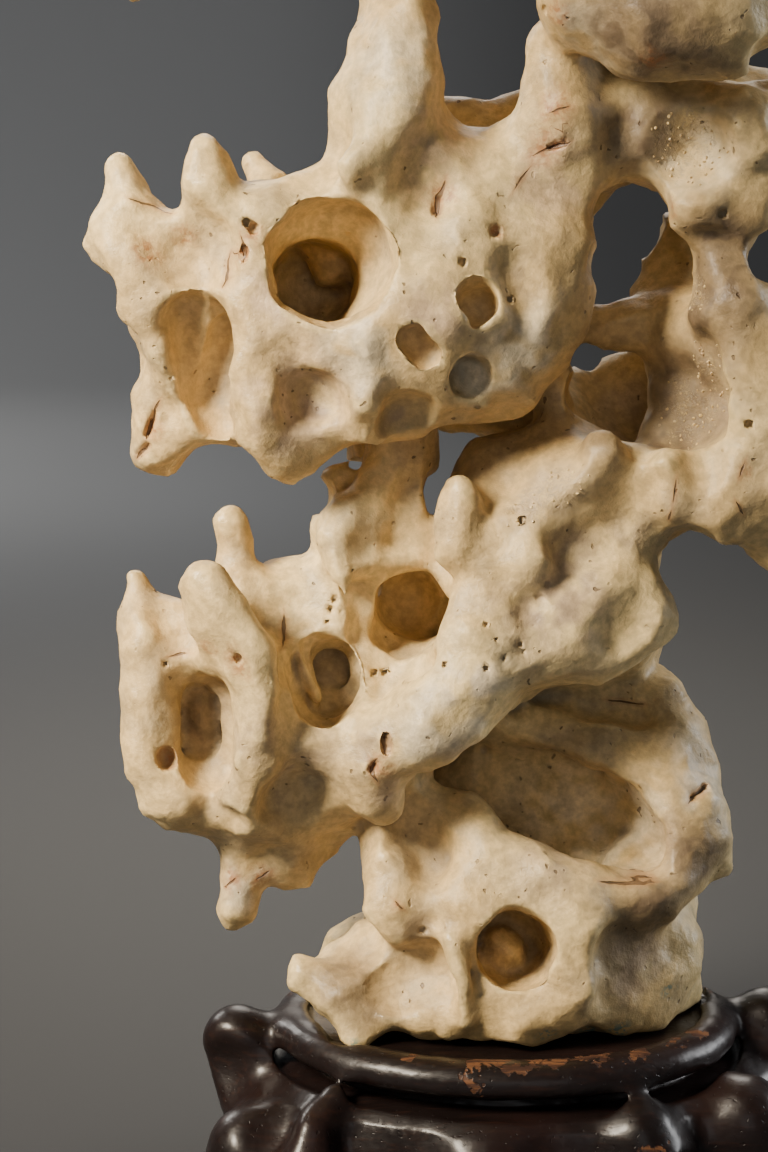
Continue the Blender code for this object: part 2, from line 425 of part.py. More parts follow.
def head(stone):
    """The overhanging head with its arch."""
    # wing with a hanging tip, at the left
    stone.add(7, (-109.5, 367, -8, 3.5), (-104.5, 378.5, -8, 9), (-91, 393.5, -10, 14.5),
        (-67, 400.5, -10, 20), (-38.5, 406, -10, 23.5))
    stone.add(5, (-102.5, 367.5, -6, 2.7), (-100, 378.5, -6, 8))
    # middle
    stone.add(10, (-38.5, 406, -10, 23.5), (-10, 414.5, -10, 25), (19, 409, -14, 26.5),
        (50.5, 395, -16, 29), (79.5, 378.5, -10, 22))
    stone.add(12, (-75.5, 406, 24, 17), (-38.5, 414.5, 30, 23), (-4, 406, 34, 21), (36, 411.5, 26, 24),
        (65, 389.5, 26, 22))
    # crest of three lobes round the top window
    stone.add(9, (-64, 417, -4, 16), (-59.5, 437, -4, 17.5), (-47, 450, 0, 13))
    stone.add(9, (-38.5, 455.5, 4, 15), (-18.5, 463, 4, 18), (1, 458, 0, 15))
    stone.add(9, (12.5, 447.5, 0, 18), (31, 433.5, -2, 20), (38.5, 411.5, 0, 21))
    stone.add(9, (1.5, 433.5, 8, 17), (-41, 431, 14, 12))
    stone.add(6, (-27, 469, 4, 11.5), (-31.5, 477.5, 4, 5.5))
    stone.add(6, (-4.5, 466.5, 10, 11), (4, 473, 14, 5.5))
    stone.add(6, (-72, 431, -12, 11), (-80.5, 445, -14, 6), (-82, 449, -14, 4))
    stone.add(6, (35.5, 439, -10, 13), (47.5, 450.5, -14, 8), (52, 457, -14, 4.5))
    stone.add(7, (85, 386.5, -12, 14.5), (93.5, 398, -14, 9), (96, 405, -14, 5.5))
    stone.add(7, (-52.5, 444.5, 30, 12), (-58, 452.5, 40, 6.5))
    stone.add(8, (24, 436.5, 30, 13), (35.5, 446, 44, 6))
    # windows and hollows
    stone.cut(2.5, (-22, 438.5, -70, 11), (-22.5, 437.5, 0, 8.5), (-23.5, 437, 80, 10))
    stone.cut(2, (11.5, 432, -60, 6), (11.5, 431.5, 0, 4.5), (10.5, 431, 70, 6.5))
    stone.cut(3, (-12.5, 406, -40, 9.5))
    stone.cut(2, (-64, 403.5, -34, 8.5), (-63.5, 402.5, -14, 7.5))
    stone.cut(2, (-83.5, 395.5, -28, 5.5))
    stone.cut(3, (24.5, 417, -44, 11.5))
    stone.cut(2, (58, 398, -62, 9.5), (58.5, 396, -36, 8))
    stone.cut(2, (38.5, 393.5, -60, 4.5))
    stone.cut(2.5, (82.5, 381, -34, 8))
    stone.cut(2, (-55.5, 437, -24, 6))
    stone.cut(2, (-13, 462.5, -18, 6))
    stone.cut(3, (-32.5, 389.5, -50, 8))
    stone.cut(3, (31, 435.5, -26, 7))


def back(stone):
    """Lumps and hollows of the back."""
    # lumps
    stone.add(10, (-91, 289.5, 34, 11), (-97, 298, 44, 7))
    stone.add(12, (-62, 254, 36, 14.5), (-69.5, 241, 38, 9.5))
    stone.add(12, (-11.5, 254, 30, 16), (6, 248, 34, 13))
    stone.add(10, (-38.5, 298, 44, 11.5), (-46.5, 308, 50, 8))
    stone.add(12, (25.5, 327.5, 34, 12.5), (10.5, 296.5, 40, 10))
    stone.add(10, (64, 315.5, 40, 12), (74.5, 310, 46, 8.5))
    stone.add(12, (83.5, 239, 22, 16), (81, 218, 20, 14))
    stone.add(10, (-77.5, 181.5, 34, 13), (-83.5, 189, 40, 8))
    stone.add(12, (-50.5, 132, 26, 15), (-59.5, 125.5, 28, 11))
    stone.add(10, (-102.5, 135, 20, 12.5), (-104, 129.5, 24, 9))
    stone.add(12, (27.5, 203, 44, 14.5), (36.5, 213.5, 44, 11))
    stone.add(12, (31, 169.5, 36, 15), (38.5, 175.5, 36, 9))
    stone.add(12, (-8, 157, 30, 17), (-20, 125.5, 34, 16), (-23, 100.5, 30, 14.5))
    stone.add(10, (48, 135, 26, 13), (49, 147.5, 34, 8.5))
    stone.add(12, (-44.5, 75, 24, 13), (-52, 63, 20, 9))
    stone.add(12, (41.5, 94, 30, 17.5), (48, 66.5, 16, 13))
    # hollows
    stone.cut(2.5, (-76.5, 272, 52, 11), (-70, 275.5, 36, 8.5))
    stone.cut(3, (-29.5, 279, 58, 14.5))
    stone.cut(2, (-3, 279, 44, 7), (1.5, 272.5, 30, 6))
    stone.cut(3, (-97.5, 254, 34, 8.5))
    stone.cut(2.5, (52, 331, 54, 11), (54.5, 333, 34, 8))
    stone.cut(2, (31.5, 333, 40, 5.5))
    stone.cut(3, (68.5, 242, 54, 12))
    stone.cut(2.5, (54, 224, 46, 7))
    stone.cut(4, (15, 227, 58, 12.5))
    stone.cut(2.5, (24.5, 188, 62, 9), (26.5, 186, 46, 7))
    stone.cut(4, (-65.5, 160, 60, 12.5))
    stone.cut(2, (-93, 150.5, 50, 9.5), (-91, 152, 34, 6.5))
    stone.cut(2.5, (-41.5, 160, 54, 10), (-42.5, 159, 38, 8))
    stone.cut(3, (16.5, 125.5, 70, 15))
    stone.cut(2.5, (41, 110, 54, 8))
    stone.cut(2.5, (-1.5, 78, 58, 13), (0.5, 80, 40, 11))
    stone.cut(2.5, (-32.5, 81, 46, 7))
    stone.cut(3, (-29.5, 209, 50, 9))
    stone.cut(3, (-4, 406, 66, 14))
    stone.cut(2.5, (-35.5, 417, 60, 9), (-34.5, 416, 46, 7))
    stone.cut(2.5, (39, 400.5, 64, 12.5), (39.5, 399.5, 42, 10))
    stone.cut(2, (66.5, 381, 50, 8))
    stone.cut(2, (-67, 406, 44, 8))
    stone.cut(2, (21.5, 422.5, 56, 6))
    stone.cut(2, (-62, 251, 56, 6), (-21, 307, 44, 5))
    stone.cut(3, (-11, 110, 62, 9))
    stone.cut(3, (14.5, 295.5, 58, 6))
    # small horns
    stone.add(6, (13, 398, 52, 8), (15, 391, 62, 3.5))
    stone.add(6, (-24, 403.5, 54, 8.5), (-25.5, 395.5, 62, 4))
    stone.add(6, (53, 414.5, 40, 9), (57.5, 422.5, 50, 4))
    stone.add(6, (-9, 269, 46, 7), (-10.5, 262.5, 56, 3.5))
    stone.add(6, (-53.5, 175.5, 46, 8), (-56, 181.5, 56, 3.5))
    stone.add(6, (10.5, 100.5, 52, 8.5), (13, 92, 60, 4))


def underside(stone):
    """Two troughs under the foot."""
    stone.cut(4, (-23, 36, 10, 10), (17.5, 36, 16, 10))


def sculpt_stone(low, high, step):
    """The whole stone, cut off flat where its toes rest on the seat."""
    stone = Clay(low, high, step, sighted=True)
    head(stone)
    upper_left(stone)
    upper_right(stone)
    foot_core(stone)
    left_lobe(stone)
    column(stone)
    lower_right(stone)
    centre(stone)
    arm(stone)
    foot(stone)
    back(stone)
    underside(stone)
    stone.roughen(0.96)
    where, (_, _, z) = stone.everywhere()
    stone.depth[where] = np.maximum(stone.depth[where], SEAT_HEIGHT + SEAT_GAP - z)
    return stone


# ---- the stand; every ball is (x, y, z, radius) ----


def oval(x, y, half_width, half_depth):
    """How far a point is outside an oval, near enough close to its edge."""
    ratio = np.sqrt((x / half_width) ** 2 + (y / half_depth) ** 2) + 1e-6
    slope = np.sqrt((x / half_width**2) ** 2 + (y / half_depth**2) ** 2) + 1e-6
    return (ratio - 1.0) * ratio / slope


def turned_body(stand):
    """Oval body with a shoulder, the groove of the neck, the seat above it and the round rim."""
    where, (x, y, z) = stand.everywhere()
    heights = (0.0, 6.0, 20.0, 34.0, 42.0, SHOULDER_HEIGHT)
    widths = BODY_HALF_WIDTH + np.array((-3.0, 0.0, 0.0, -2.0, -6.0, -14.0))
    depths = BODY_HALF_DEPTH + np.array((-2.0, 0.0, 0.0, -2.0, -4.0, -10.0))
    side = oval(x, y, np.interp(z, heights, widths), np.interp(z, heights, depths))
    stand.join(where, np.maximum(side, z - SHOULDER_HEIGHT), 4.0)
    neck = oval(x, y, RIM_HALF_WIDTH - 4.0, RIM_HALF_DEPTH - 4.0)
    stand.join(where, np.maximum(neck, np.maximum(z - SEAT_HEIGHT, 30.0 - z)), 2.0)
    rim = oval(x, y, RIM_HALF_WIDTH, RIM_HALF_DEPTH)
    lift = RIM_SQUASH * (z - SEAT_HEIGHT + RIM_DROP)
    rim = np.sqrt(rim**2 + lift**2) - RIM_THICKNESS / 2
    stand.join(where, rim, 1.5)


def carved_front(stand):
    """Bosses and hollows of the front and the two sides, carved like a small cliff."""
    # bosses at the two ends, higher than the neck
    stand.add(9, (-76, -4, 36, 15), (-82, -6, 51, 11))
    stand.add(9, (78, 6, 38, 15), (82, 8, 52, 11))
    # a ridge that sweeps down from the neck, and the bosses beside it
    stand.add(8, (-52, -44, 45, 5), (-59, -50, 38, 8), (-60, -54, 26, 11), (-54, -56, 12, 12))
    stand.add(9, (-76, -34, 27, 14), (-80, -32, 12, 14))
    stand.add(9, (-8, -54, 28, 17), (-4, -56, 14, 15))
    stand.add(8, (37, -51, 38, 12), (44, -54, 22, 14), (40, -54, 10, 13))
    stand.add(9, (70, -34, 36, 14), (76, -32, 18, 15))
    # hollows between them, and the two small eyes that such a cliff has
    stand.cut(8, (-34, -73, 38, 13), (-30, -78, 20, 14))
    stand.cut(8, (14, -76, 40, 12), (18, -77, 20, 12))
    stand.cut(8, (58, -60, 26, 9), (60, -66, 10, 10))
    stand.cut(7, (-88, -20, 46, 9))
    stand.cut(7, (-72, -50, 42, 8))
    stand.cut(8, (96, -14, 26, 12))
    stand.cut(8, (-100, -10, 24, 12))
    stand.cut(3, (-22, -68, 16, 5), (-20, -54, 16, 4))
    stand.cut(3, (50, -70, 30, 4), (48, -58, 30, 4))


def carved_back(stand):
    """Five broad bosses with hollows between them round the back."""
    for turn in range(5):
        angle = math.radians(22 + 34 * turn)
        x = BODY_HALF_WIDTH * math.cos(angle)
        y = BODY_HALF_DEPTH * math.sin(angle)
        top = 30 + 8 * (turn % 2)
        stand.add(9, (0.84 * x, 0.82 * y, top, 14), (0.9 * x, 0.88 * y, 12, 14))
        between = angle + math.radians(17)
        x = BODY_HALF_WIDTH * math.cos(between)
        y = BODY_HALF_DEPTH * math.sin(between)
        stand.cut(8, (1.1 * x, 1.14 * y, 34, 11), (1.12 * x, 1.18 * y, 16, 11))


def groove(stand):
    """The groove all round under the rim, cut last so that no boss fills it."""
    where, (x, y, z) = stand.everywhere()
    ring = oval(x, y, RIM_HALF_WIDTH + 5.5, RIM_HALF_DEPTH + 5.5)
    stand.carve(where, np.sqrt(ring**2 + (z - GROOVE_HEIGHT) ** 2) - GROOVE_RADIUS, 2.0)


def feet(stand):
    """Arches under the edge that leave seven low feet."""
    for turn in range(7):
        angle = math.radians(-64 + 51.4 * turn)
        x = BODY_HALF_WIDTH * math.cos(angle)
        y = BODY_HALF_DEPTH * math.sin(angle)
        stand.cut(3, (1.15 * x, 1.15 * y, -4, 13), (0.88 * x, 0.88 * y, -6, 12))


def sculpt_stand():
    stand = Clay(STAND_LOW, STAND_HIGH, STAND_GRID, sighted=False)
    turned_body(stand)
    carved_front(stand)
    carved_back(stand)
    groove(stand)
    feet(stand)
    where, (x, y, z) = stand.everywhere()
    stone = sculpt_stone(STAND_LOW, STAND_HIGH, STAND_GRID)
    seat = np.maximum(oval(x, y, RIM_HALF_WIDTH - 4.0, RIM_HALF_DEPTH - 4.0), SEAT_HEIGHT - z)
    stand.carve(where, seat, 0.5)
    cleared = np.maximum(stone.depth - FIT_GAP, SEAT_HEIGHT - z)
    stand.depth[where] = np.maximum(stand.depth[where], -cleared)
    stand.depth[where] = np.maximum(stand.depth[where], -z)
    return stand


# ---- from clay to solids ----


def largest_skin(points, faces):
    """Keeps the one skin with the most points, so that no crumb or sealed bubble is left."""
    owner = np.arange(len(points))
    while True:
        lowest = owner[faces].min(1)
        new = owner.copy()
        for corner in range(3):
            np.minimum.at(new, faces[:, corner], lowest)
        new = new[new]
        if (new == owner).all():
            break
        owner = new
    names, sizes = np.unique(owner, return_counts=True)
    kept = owner == names[sizes.argmax()]
    number = np.cumsum(kept) - 1
    return points[kept], number[faces[kept[faces[:, 0]]]]


def skin(clay, name, triangles, material):
    """Turns clay into a named object with about so many triangles."""
    limit = 3.0 * clay.step
    block = openvdb.FloatGrid(limit)
    block.copyFromArray(np.clip(clay.depth, -limit, limit))
    points, threes, fours = block.convertToPolygons(0.0, 0.0)
    faces = np.concatenate([threes, fours[:, [0, 1, 2]], fours[:, [0, 2, 3]]]).astype(int)
    points, faces = largest_skin(points, faces)
    points = (points * clay.step + clay.low) * MM
    corners = points[faces]
    if np.einsum("ij,ij->", corners[:, 0], np.cross(corners[:, 1], corners[:, 2])) < 0:
        faces = faces[:, ::-1]
    mesh = bpy.data.meshes.new(name)
    mesh.from_pydata(points.tolist(), [], faces.tolist())
    mesh.shade_smooth()
    mesh.materials.append(material)
    piece = bpy.data.objects.new(name, mesh)
    bpy.context.scene.collection.objects.link(piece)
    thin = piece.modifiers.new("thin out", "DECIMATE")
    thin.ratio = triangles / len(faces)
    return piece


def paint(name, colour, roughness):
    material = bpy.data.materials.new(name)
    material.use_nodes = True
    shader = material.node_tree.nodes["Principled BSDF"]
    shader.inputs["Base Color"].default_value = (*colour, 1.0)
    shader.inputs["Roughness"].default_value = roughness
    shader.inputs["Metallic"].default_value = 0.0
    return material


def main():
    for leftover in list(bpy.data.objects):
        bpy.data.objects.remove(leftover)
    stone = sculpt_stone(STONE_LOW, STONE_HIGH, STONE_GRID)
    skin(stone, "stone", STONE_TRIANGLES, paint("weathered calcite", STONE_COLOUR, 0.55))
    skin(sculpt_stand(), "stand", STAND_TRIANGLES, paint("lacquered wood", WOOD_COLOUR, 0.3))


main()
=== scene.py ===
# %% [markdown]
# # A scholar's rock on its carved stand
#
# A scholar's rock is a natural stone that was picked for its shape: thin limbs, windows and
# deep hollows that water ate out of soft rock. This one is cream calcite, waxy where hands have
# rubbed it and sugary where its crystals show. It stands loosely on a low stand of hard wood,
# which is carved like a little cliff and covered in nearly black lacquer.
#
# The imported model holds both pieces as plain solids. This notebook gives each of them a fine
# skin with its true surface, and then the finishes, the light and the camera.

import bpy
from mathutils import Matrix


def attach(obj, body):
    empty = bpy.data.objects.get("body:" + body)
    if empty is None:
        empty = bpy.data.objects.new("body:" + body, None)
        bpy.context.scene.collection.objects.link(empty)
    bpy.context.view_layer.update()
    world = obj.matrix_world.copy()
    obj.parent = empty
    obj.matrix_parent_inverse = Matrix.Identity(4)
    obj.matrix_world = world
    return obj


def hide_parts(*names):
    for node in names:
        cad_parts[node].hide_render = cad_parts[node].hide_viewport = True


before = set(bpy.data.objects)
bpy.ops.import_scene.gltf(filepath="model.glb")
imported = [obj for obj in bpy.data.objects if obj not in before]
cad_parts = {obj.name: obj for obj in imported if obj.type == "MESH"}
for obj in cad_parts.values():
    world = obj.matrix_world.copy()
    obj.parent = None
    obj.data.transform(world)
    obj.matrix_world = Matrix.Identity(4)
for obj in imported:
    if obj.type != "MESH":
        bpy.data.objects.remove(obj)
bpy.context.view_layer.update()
print("solids:", sorted(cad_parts))

# %% [markdown]
# ## Sizes
#
# All lengths below are in millimetres, because that is how a carver would think of them, and are
# turned into metres only when a mesh or a texture is made. The stone's sizes are those of its
# solid, so that the fine skin lies on the plain one.

# %% Sizes
import math

import bpy
import numpy as np
import openvdb
from mathutils import Vector

MM = 0.001
SEAT_HEIGHT = 58.0  # floor of the stand's seat above the table
SEAT_GAP = 0.35  # air between the stone's toes and the seat
FIT_GAP = 1.8  # air between the stone and the rim that is carved to fit round it
RIM_HALF_WIDTH = 64.5  # middle line of the oval rim
RIM_HALF_DEPTH = 50.5
RIM_THICKNESS = 14.0  # across; the rim is a little less high than that
RIM_SQUASH = 1.15
RIM_DROP = 3.2  # middle of the rim below the seat's floor
SEAT_INSET = 4.0  # the neck and the seat end so far inside the rim's middle line
NECK_BOTTOM = 30.0  # inside the body
SHOULDER_HEIGHT = 47.5  # top of the body
GROOVE_HEIGHT = 48.2
GROOVE_OFFSET = 5.5  # middle of the groove outside the rim's middle line
GROOVE_RADIUS = 2.8
BODY_HALF_WIDTH = 86.0  # body of the stand at its widest
BODY_HALF_DEPTH = 64.0

# The stone's elevation is drawn as a seated viewer sees it: "across" and "up" are measured on
# the upright middle plane, and each point then lies on its line of sight, "deep" behind that
# plane (in front of it where deep is negative).
EYE = (-37.2, -802.3, 343.8)

STONE_LOW = (-150.0, -80.0, 52.0)  # corners of the blocks of space that are sculpted
STONE_HIGH = (135.0, 90.0, 498.0)
STAND_LOW = (-102.0, -84.0, -4.0)
STAND_HIGH = (106.0, 84.0, 72.0)

STONE_STEP = 1.0  # spacing of the sculpting grid
STAND_STEP = 1.0
STONE_FACES = 190000
STAND_FACES = 90000

# %% [markdown]
# ## Camera
#
# The stone is seen from a little above the middle of its height, from straight in front and
# slightly to the left, with a long lens. A long lens keeps the horns near the eye from looking
# larger than they are. The camera looks a little down, and not at all to one side.

# %% Camera
LOOK_DOWN = math.radians(10.5)
LENS = 85.0  # millimetres, on a picture whose long side is 36 mm


def place_camera():
    """A camera in front of the part that looks slightly down at it."""
    lens = bpy.data.cameras.new("camera")
    lens.lens = LENS
    lens.sensor_width = 36.0
    camera = bpy.data.objects.new("camera", lens)
    camera.location = [length * MM for length in EYE]
    camera.rotation_euler = (math.radians(90.0) - LOOK_DOWN, 0.0, 0.0)
    bpy.context.scene.collection.objects.link(camera)
    bpy.context.scene.camera = camera
    return camera


camera = place_camera()
print("camera at", [round(length, 3) for length in camera.location])

# %% [markdown]
# ## Light
#
# One soft lamp stands to the upper left of the stone, as in a studio with one window. It rakes
# across the face and is aimed past its left side, so that the light falls off to the right and
# every hollow keeps its shade. Weaker lamps fill the shadows from the front and the right, one
# lights the floor far behind the left side and one lights the stone's back. A high, wide sun and
# the grey world fill the rest, so that the stone can be walked round. Places are in metres.

# %% Lamps and world
def hang(lamp, place, aim, power, colour):
    """Hangs a lamp at a place so that it shines towards another."""
    lamp.energy = power
    lamp.color = colour
    holder = bpy.data.objects.new(lamp.name, lamp)
    holder.location = place
    holder.rotation_euler = (Vector(aim) - Vector(place)).to_track_quat("-Z", "Y").to_euler()
    bpy.context.scene.collection.objects.link(holder)


def softbox(name, place, aim, size, power, spread, colour):
    """A square lamp, so many metres wide, whose light spreads over so many degrees."""
    lamp = bpy.data.lights.new(name, "AREA")
    lamp.shape = "SQUARE"
    lamp.size = size
    lamp.spread = math.radians(spread)
    hang(lamp, place, aim, power, colour)


def skylight(name, place, aim, strength, angle, colour):
    """Soft light from far away that comes from a place's side."""
    lamp = bpy.data.lights.new(name, "SUN")
    lamp.angle = math.radians(angle)
    hang(lamp, place, aim, strength, colour)


MIDDLE = (0.0, 0.0, 0.26)
LEFT_SIDE = (-0.25, 0.0, 0.27)
WALL_LEFT = (-0.4, 1.6, 0.0)
EVENING = (1.0, 0.87, 0.69)  # colours of light, from warm to cool
LAMPLIGHT = (1.0, 0.93, 0.84)
CREAM_LIGHT = (1.0, 0.96, 0.90)
DAYLIGHT = (0.97, 0.98, 1.0)
COOL_LIGHT = (0.94, 0.97, 1.0)
SKY_GREY = (0.55, 0.56, 0.58)
SKY_STRENGTH = 0.11

# place, aim, width, power in watts, spread in degrees and colour of each lamp
softbox("window light", (-0.76, -0.50, 0.78), LEFT_SIDE, 0.34, 3.9, 48.0, EVENING)
softbox("front fill", (0.15, -1.5, 0.55), MIDDLE, 0.8, 1.7, 180.0, COOL_LIGHT)
softbox("right fill", (1.5, 0.45, 0.6), MIDDLE, 0.8, 2.2, 50.0, DAYLIGHT)
softbox("back light", (0.0, 1.5, 1.3), MIDDLE, 1.0, 1.3, 40.0, LAMPLIGHT)
softbox("wall light", (-1.2, 1.4, 1.0), WALL_LEFT, 0.5, 17.5, 180.0, CREAM_LIGHT)
# the sun's numbers are its strength and how many degrees of the sky it fills
skylight("high light", (0.1, 0.55, 1.3), MIDDLE, 0.32, 60.0, CREAM_LIGHT)

world = bpy.data.worlds.new("studio")
world.use_nodes = True
sky = world.node_tree.nodes["Background"].inputs
sky["Color"].default_value = (*SKY_GREY, 1.0)
sky["Strength"].default_value = SKY_STRENGTH
bpy.context.scene.world = world
print("lamps:", [lamp.name for lamp in bpy.data.lights])

# %% [markdown]
# ## Floor
#
# The stand rests on a pale floor that sweeps up into a grey wall behind it without an edge. It
# is one strip: a flat part, a quarter turn and an upright part. Its sizes are in metres, as it
# belongs to the room and not to the stone.

# %% Floor
FLOOR_FRONT = -8.0
FLOOR_BACK = 2.2
SWEEP_RADIUS = 0.8
WALL_TOP = 4.0
FLOOR_HALF_WIDTH = 8.0
FLAT_ROWS = 12
TURN_ROWS = 17


def sweep_profile():
    """Points (y, z) of the strip, from the front edge to the top of the wall."""
    flat = [(y, 0.0) for y in np.linspace(FLOOR_FRONT, FLOOR_BACK, FLAT_ROWS)]
    turn = []
    for angle in np.radians(np.linspace(-90.0, 0.0, TURN_ROWS))[1:]:
        y = FLOOR_BACK + SWEEP_RADIUS * math.cos(angle)
        turn.append((y, SWEEP_RADIUS * (1.0 + math.sin(angle))))
    return flat + turn + [(FLOOR_BACK + SWEEP_RADIUS, WALL_TOP)]


def build_floor():
    """The floor and the wall it sweeps up into, as one smooth sheet."""
    profile = sweep_profile()
    points = [(x, y, z) for y, z in profile for x in (-FLOOR_HALF_WIDTH, FLOOR_HALF_WIDTH)]
    faces = [(2 * i, 2 * i + 1, 2 * i + 3, 2 * i + 2) for i in range(len(profile) - 1)]
    mesh = bpy.data.meshes.new("floor")
    mesh.from_pydata(points, [], faces)
    mesh.shade_smooth()
    floor = bpy.data.objects.new("floor", mesh)
    bpy.context.scene.collection.objects.link(floor)
    return floor


floor = build_floor()
print("floor strips:", len(floor.data.polygons))

# %% [markdown]
# ## Clay
#
# A water-worn stone has no straight edge or plane, so it can't be built from primitives. The
# best way is to sculpt it: lumps are added and hollows are cut one after another, and each runs
# softly into what is there. Here the clay is a block of space in which every grid point knows
# how far the surface is, with numbers below 0 inside the stone. A lump is a chain of balls.
# Adding takes the smaller of two distances and cutting takes the larger of one and the other's
# negative, both with a soft corner, whose width is the blend. Marks such as pinholes, cracks and
# stains are listed where they lie in the view, and settle onto the surface there.

# %% Clay
OPEN_AIR = 60.0  # distance to the surface that an empty block starts with
CHAIN_MARGIN = 16.0  # how far beyond its balls a chain's blend can matter
MARK_REACH = 9.0  # how far a mark may lie in front of or behind the surface


def soft_least(one, other, blend):
    """The smaller of two distances, with a soft corner as wide as the blend."""
    soft = np.maximum(blend - np.abs(one - other), 0.0) / blend
    return np.minimum(one, other) - soft * soft * blend / 4


class Clay:
    """A block of space that knows at each grid point how far a surface is; below 0 is solid."""

    def __init__(self, low, high, step, sighted):
        self.low = np.array(low)
        self.step = step
        self.sighted = sighted
        self.count = np.ceil((np.array(high) - self.low) / step).astype(int) + 1
        self.depth = np.full(self.count, OPEN_AIR, np.float32)

    def placed(self, ball):
        """A ball (x, y, z, radius) from one given across, up, deep and radius."""
        if not self.sighted:
            return ball
        across, up, deep, radius = ball
        reach = (deep - EYE[1]) / -EYE[1]
        x = EYE[0] + (across - EYE[0]) * reach
        z = EYE[2] + (up - EYE[2]) * reach
        return x, deep, z, radius * reach

    def points(self, where):
        """The x, y and z of the grid points in a part of the block."""
        spans = [low + self.step * np.arange(part.start, part.stop)
            for low, part in zip(self.low, where)]
        return [axis.astype(np.float32) for axis in np.meshgrid(*spans, indexing="ij", sparse=True)]

    def chain(self, balls, stretch):
        """Where the chain of balls can matter, and how far each grid point there is from it."""
        balls = np.array([self.placed(ball) for ball in balls])
        reach = balls[:, 3].max() * stretch + CHAIN_MARGIN
        first = np.floor(((balls[:, :3] - reach).min(0) - self.low) / self.step).astype(int)
        last = np.ceil(((balls[:, :3] + reach).max(0) - self.low) / self.step).astype(int) + 1
        first = np.clip(first, 0, self.count)
        last = np.clip(last, 0, self.count)
        where = tuple(slice(a, b) for a, b in zip(first, last))
        if (last <= first).any():
            return where, None
        points = [axis / stretch[i] for i, axis in enumerate(self.points(where))]
        nearest = None
        for start, end in zip(balls, balls[1:] if len(balls) > 1 else balls):
            a = start[:3] / stretch
            along = end[:3] / stretch - a
            length = max(float(along @ along), 1e-9)
            run = sum((points[i] - a[i]) * along[i] for i in range(3))
            t = np.clip(run / length, 0.0, 1.0)
            gap = np.sqrt(sum((points[i] - a[i] - t * along[i]) ** 2 for i in range(3)))
            gap = (gap - start[3] - (end[3] - start[3]) * t) * stretch.min()
            nearest = gap if nearest is None else np.minimum(nearest, gap)
        return where, nearest

    def join(self, where, other, blend):
        """Adds a shape, given by its distances."""
        self.depth[where] = soft_least(self.depth[where], other, blend)

    def carve(self, where, other, blend):
        """Cuts a shape away, given by its distances."""
        self.depth[where] = -soft_least(-self.depth[where], other, blend)

    def add(self, blend, *balls, stretch=(1, 1, 1)):
        """Adds a chain of balls."""
        where, gap = self.chain(balls, np.array(stretch, float))
        if gap is not None:
            self.join(where, gap, blend)

    def cut(self, blend, *balls, stretch=(1, 1, 1)):
        """Cuts a chain of balls away."""
        where, gap = self.chain(balls, np.array(stretch, float))
        if gap is not None:
            self.carve(where, gap, blend)

    def dent(self, blend, *balls):
        """Cuts balls away one by one, each on its own."""
        for ball in balls:
            self.cut(blend, ball)

    def everywhere(self):
        """The whole block, and its grid points."""
        where = tuple(slice(0, n) for n in self.count)
        return where, self.points(where)

    def roughen(self, amount):
        """Low waves all over, so that nothing stays a clean ball.

        Broad waves 27 to 31 mm long and fine ones half as long are bent by one another, so that
        no pattern is seen.
        """
        where, (x, y, z) = self.everywhere()
        broad = np.sin(x / 4.3 + 1.7 * np.sin(z / 7.9) + 0.6)
        broad = broad * np.sin(y / 4.9 + 1.3 * np.sin(x / 8.7))
        broad = broad * np.sin(z / 4.6 + 1.5 * np.sin(y / 8.3))
        fine = np.sin(x / 2.3 + 1.1 * np.sin(y / 3.9)) * np.sin(y / 2.5 + 1.2 * np.sin(z / 4.1))
        fine = fine * np.sin(z / 2.4 + 1.1 * np.sin(x / 4.3))
        self.depth[where] += amount * (broad + 0.25 * fine)

    def solidity(self):
        """1 in the stone and 0 in the air, with a soft step at the surface."""
        return np.clip(0.5 - self.depth / self.step, 0.0, 1.0)

    def settled(self, place):
        """A mark's place, moved along the line of sight onto the face that looks at the eye."""
        across, up, deep = place[:3]
        in_air = False
        for shift in np.arange(-MARK_REACH, MARK_REACH, 0.5 * self.step):
            spot = self.placed((across, up, deep + shift, 0.0))[:3]
            nearest = np.round((np.array(spot) - self.low) / self.step).astype(int)
            solid = self.depth[tuple(nearest)] < 0
            if solid and in_air:
                return (across, up, deep + shift, *place[3:])
            in_air = not solid
        return place


trial = Clay((-10.0, -10.0, -10.0), (10.0, 10.0, 10.0), 2.0, sighted=False)
trial.add(2, (0, 0, 0, 6))
print("a ball of 6 mm fills", int((trial.depth < 0).sum()), "of", trial.depth.size, "grid points")

# %% [markdown]
# ## The stone, region by region
#
# Each ball is written as (across, up, deep, radius). Across and up are measured on the upright
# plane through the middle of the stone, as the eye at the camera sees it, and deep says how far
# behind that plane the ball lies. That makes it easy to draw the stone's outline, because a ball
# may be pushed back or pulled forward without leaving its place in the view.
#
# The upper left lobe comes first: a ring of lumps round one large window, with three horns and a
# column that carries the head.

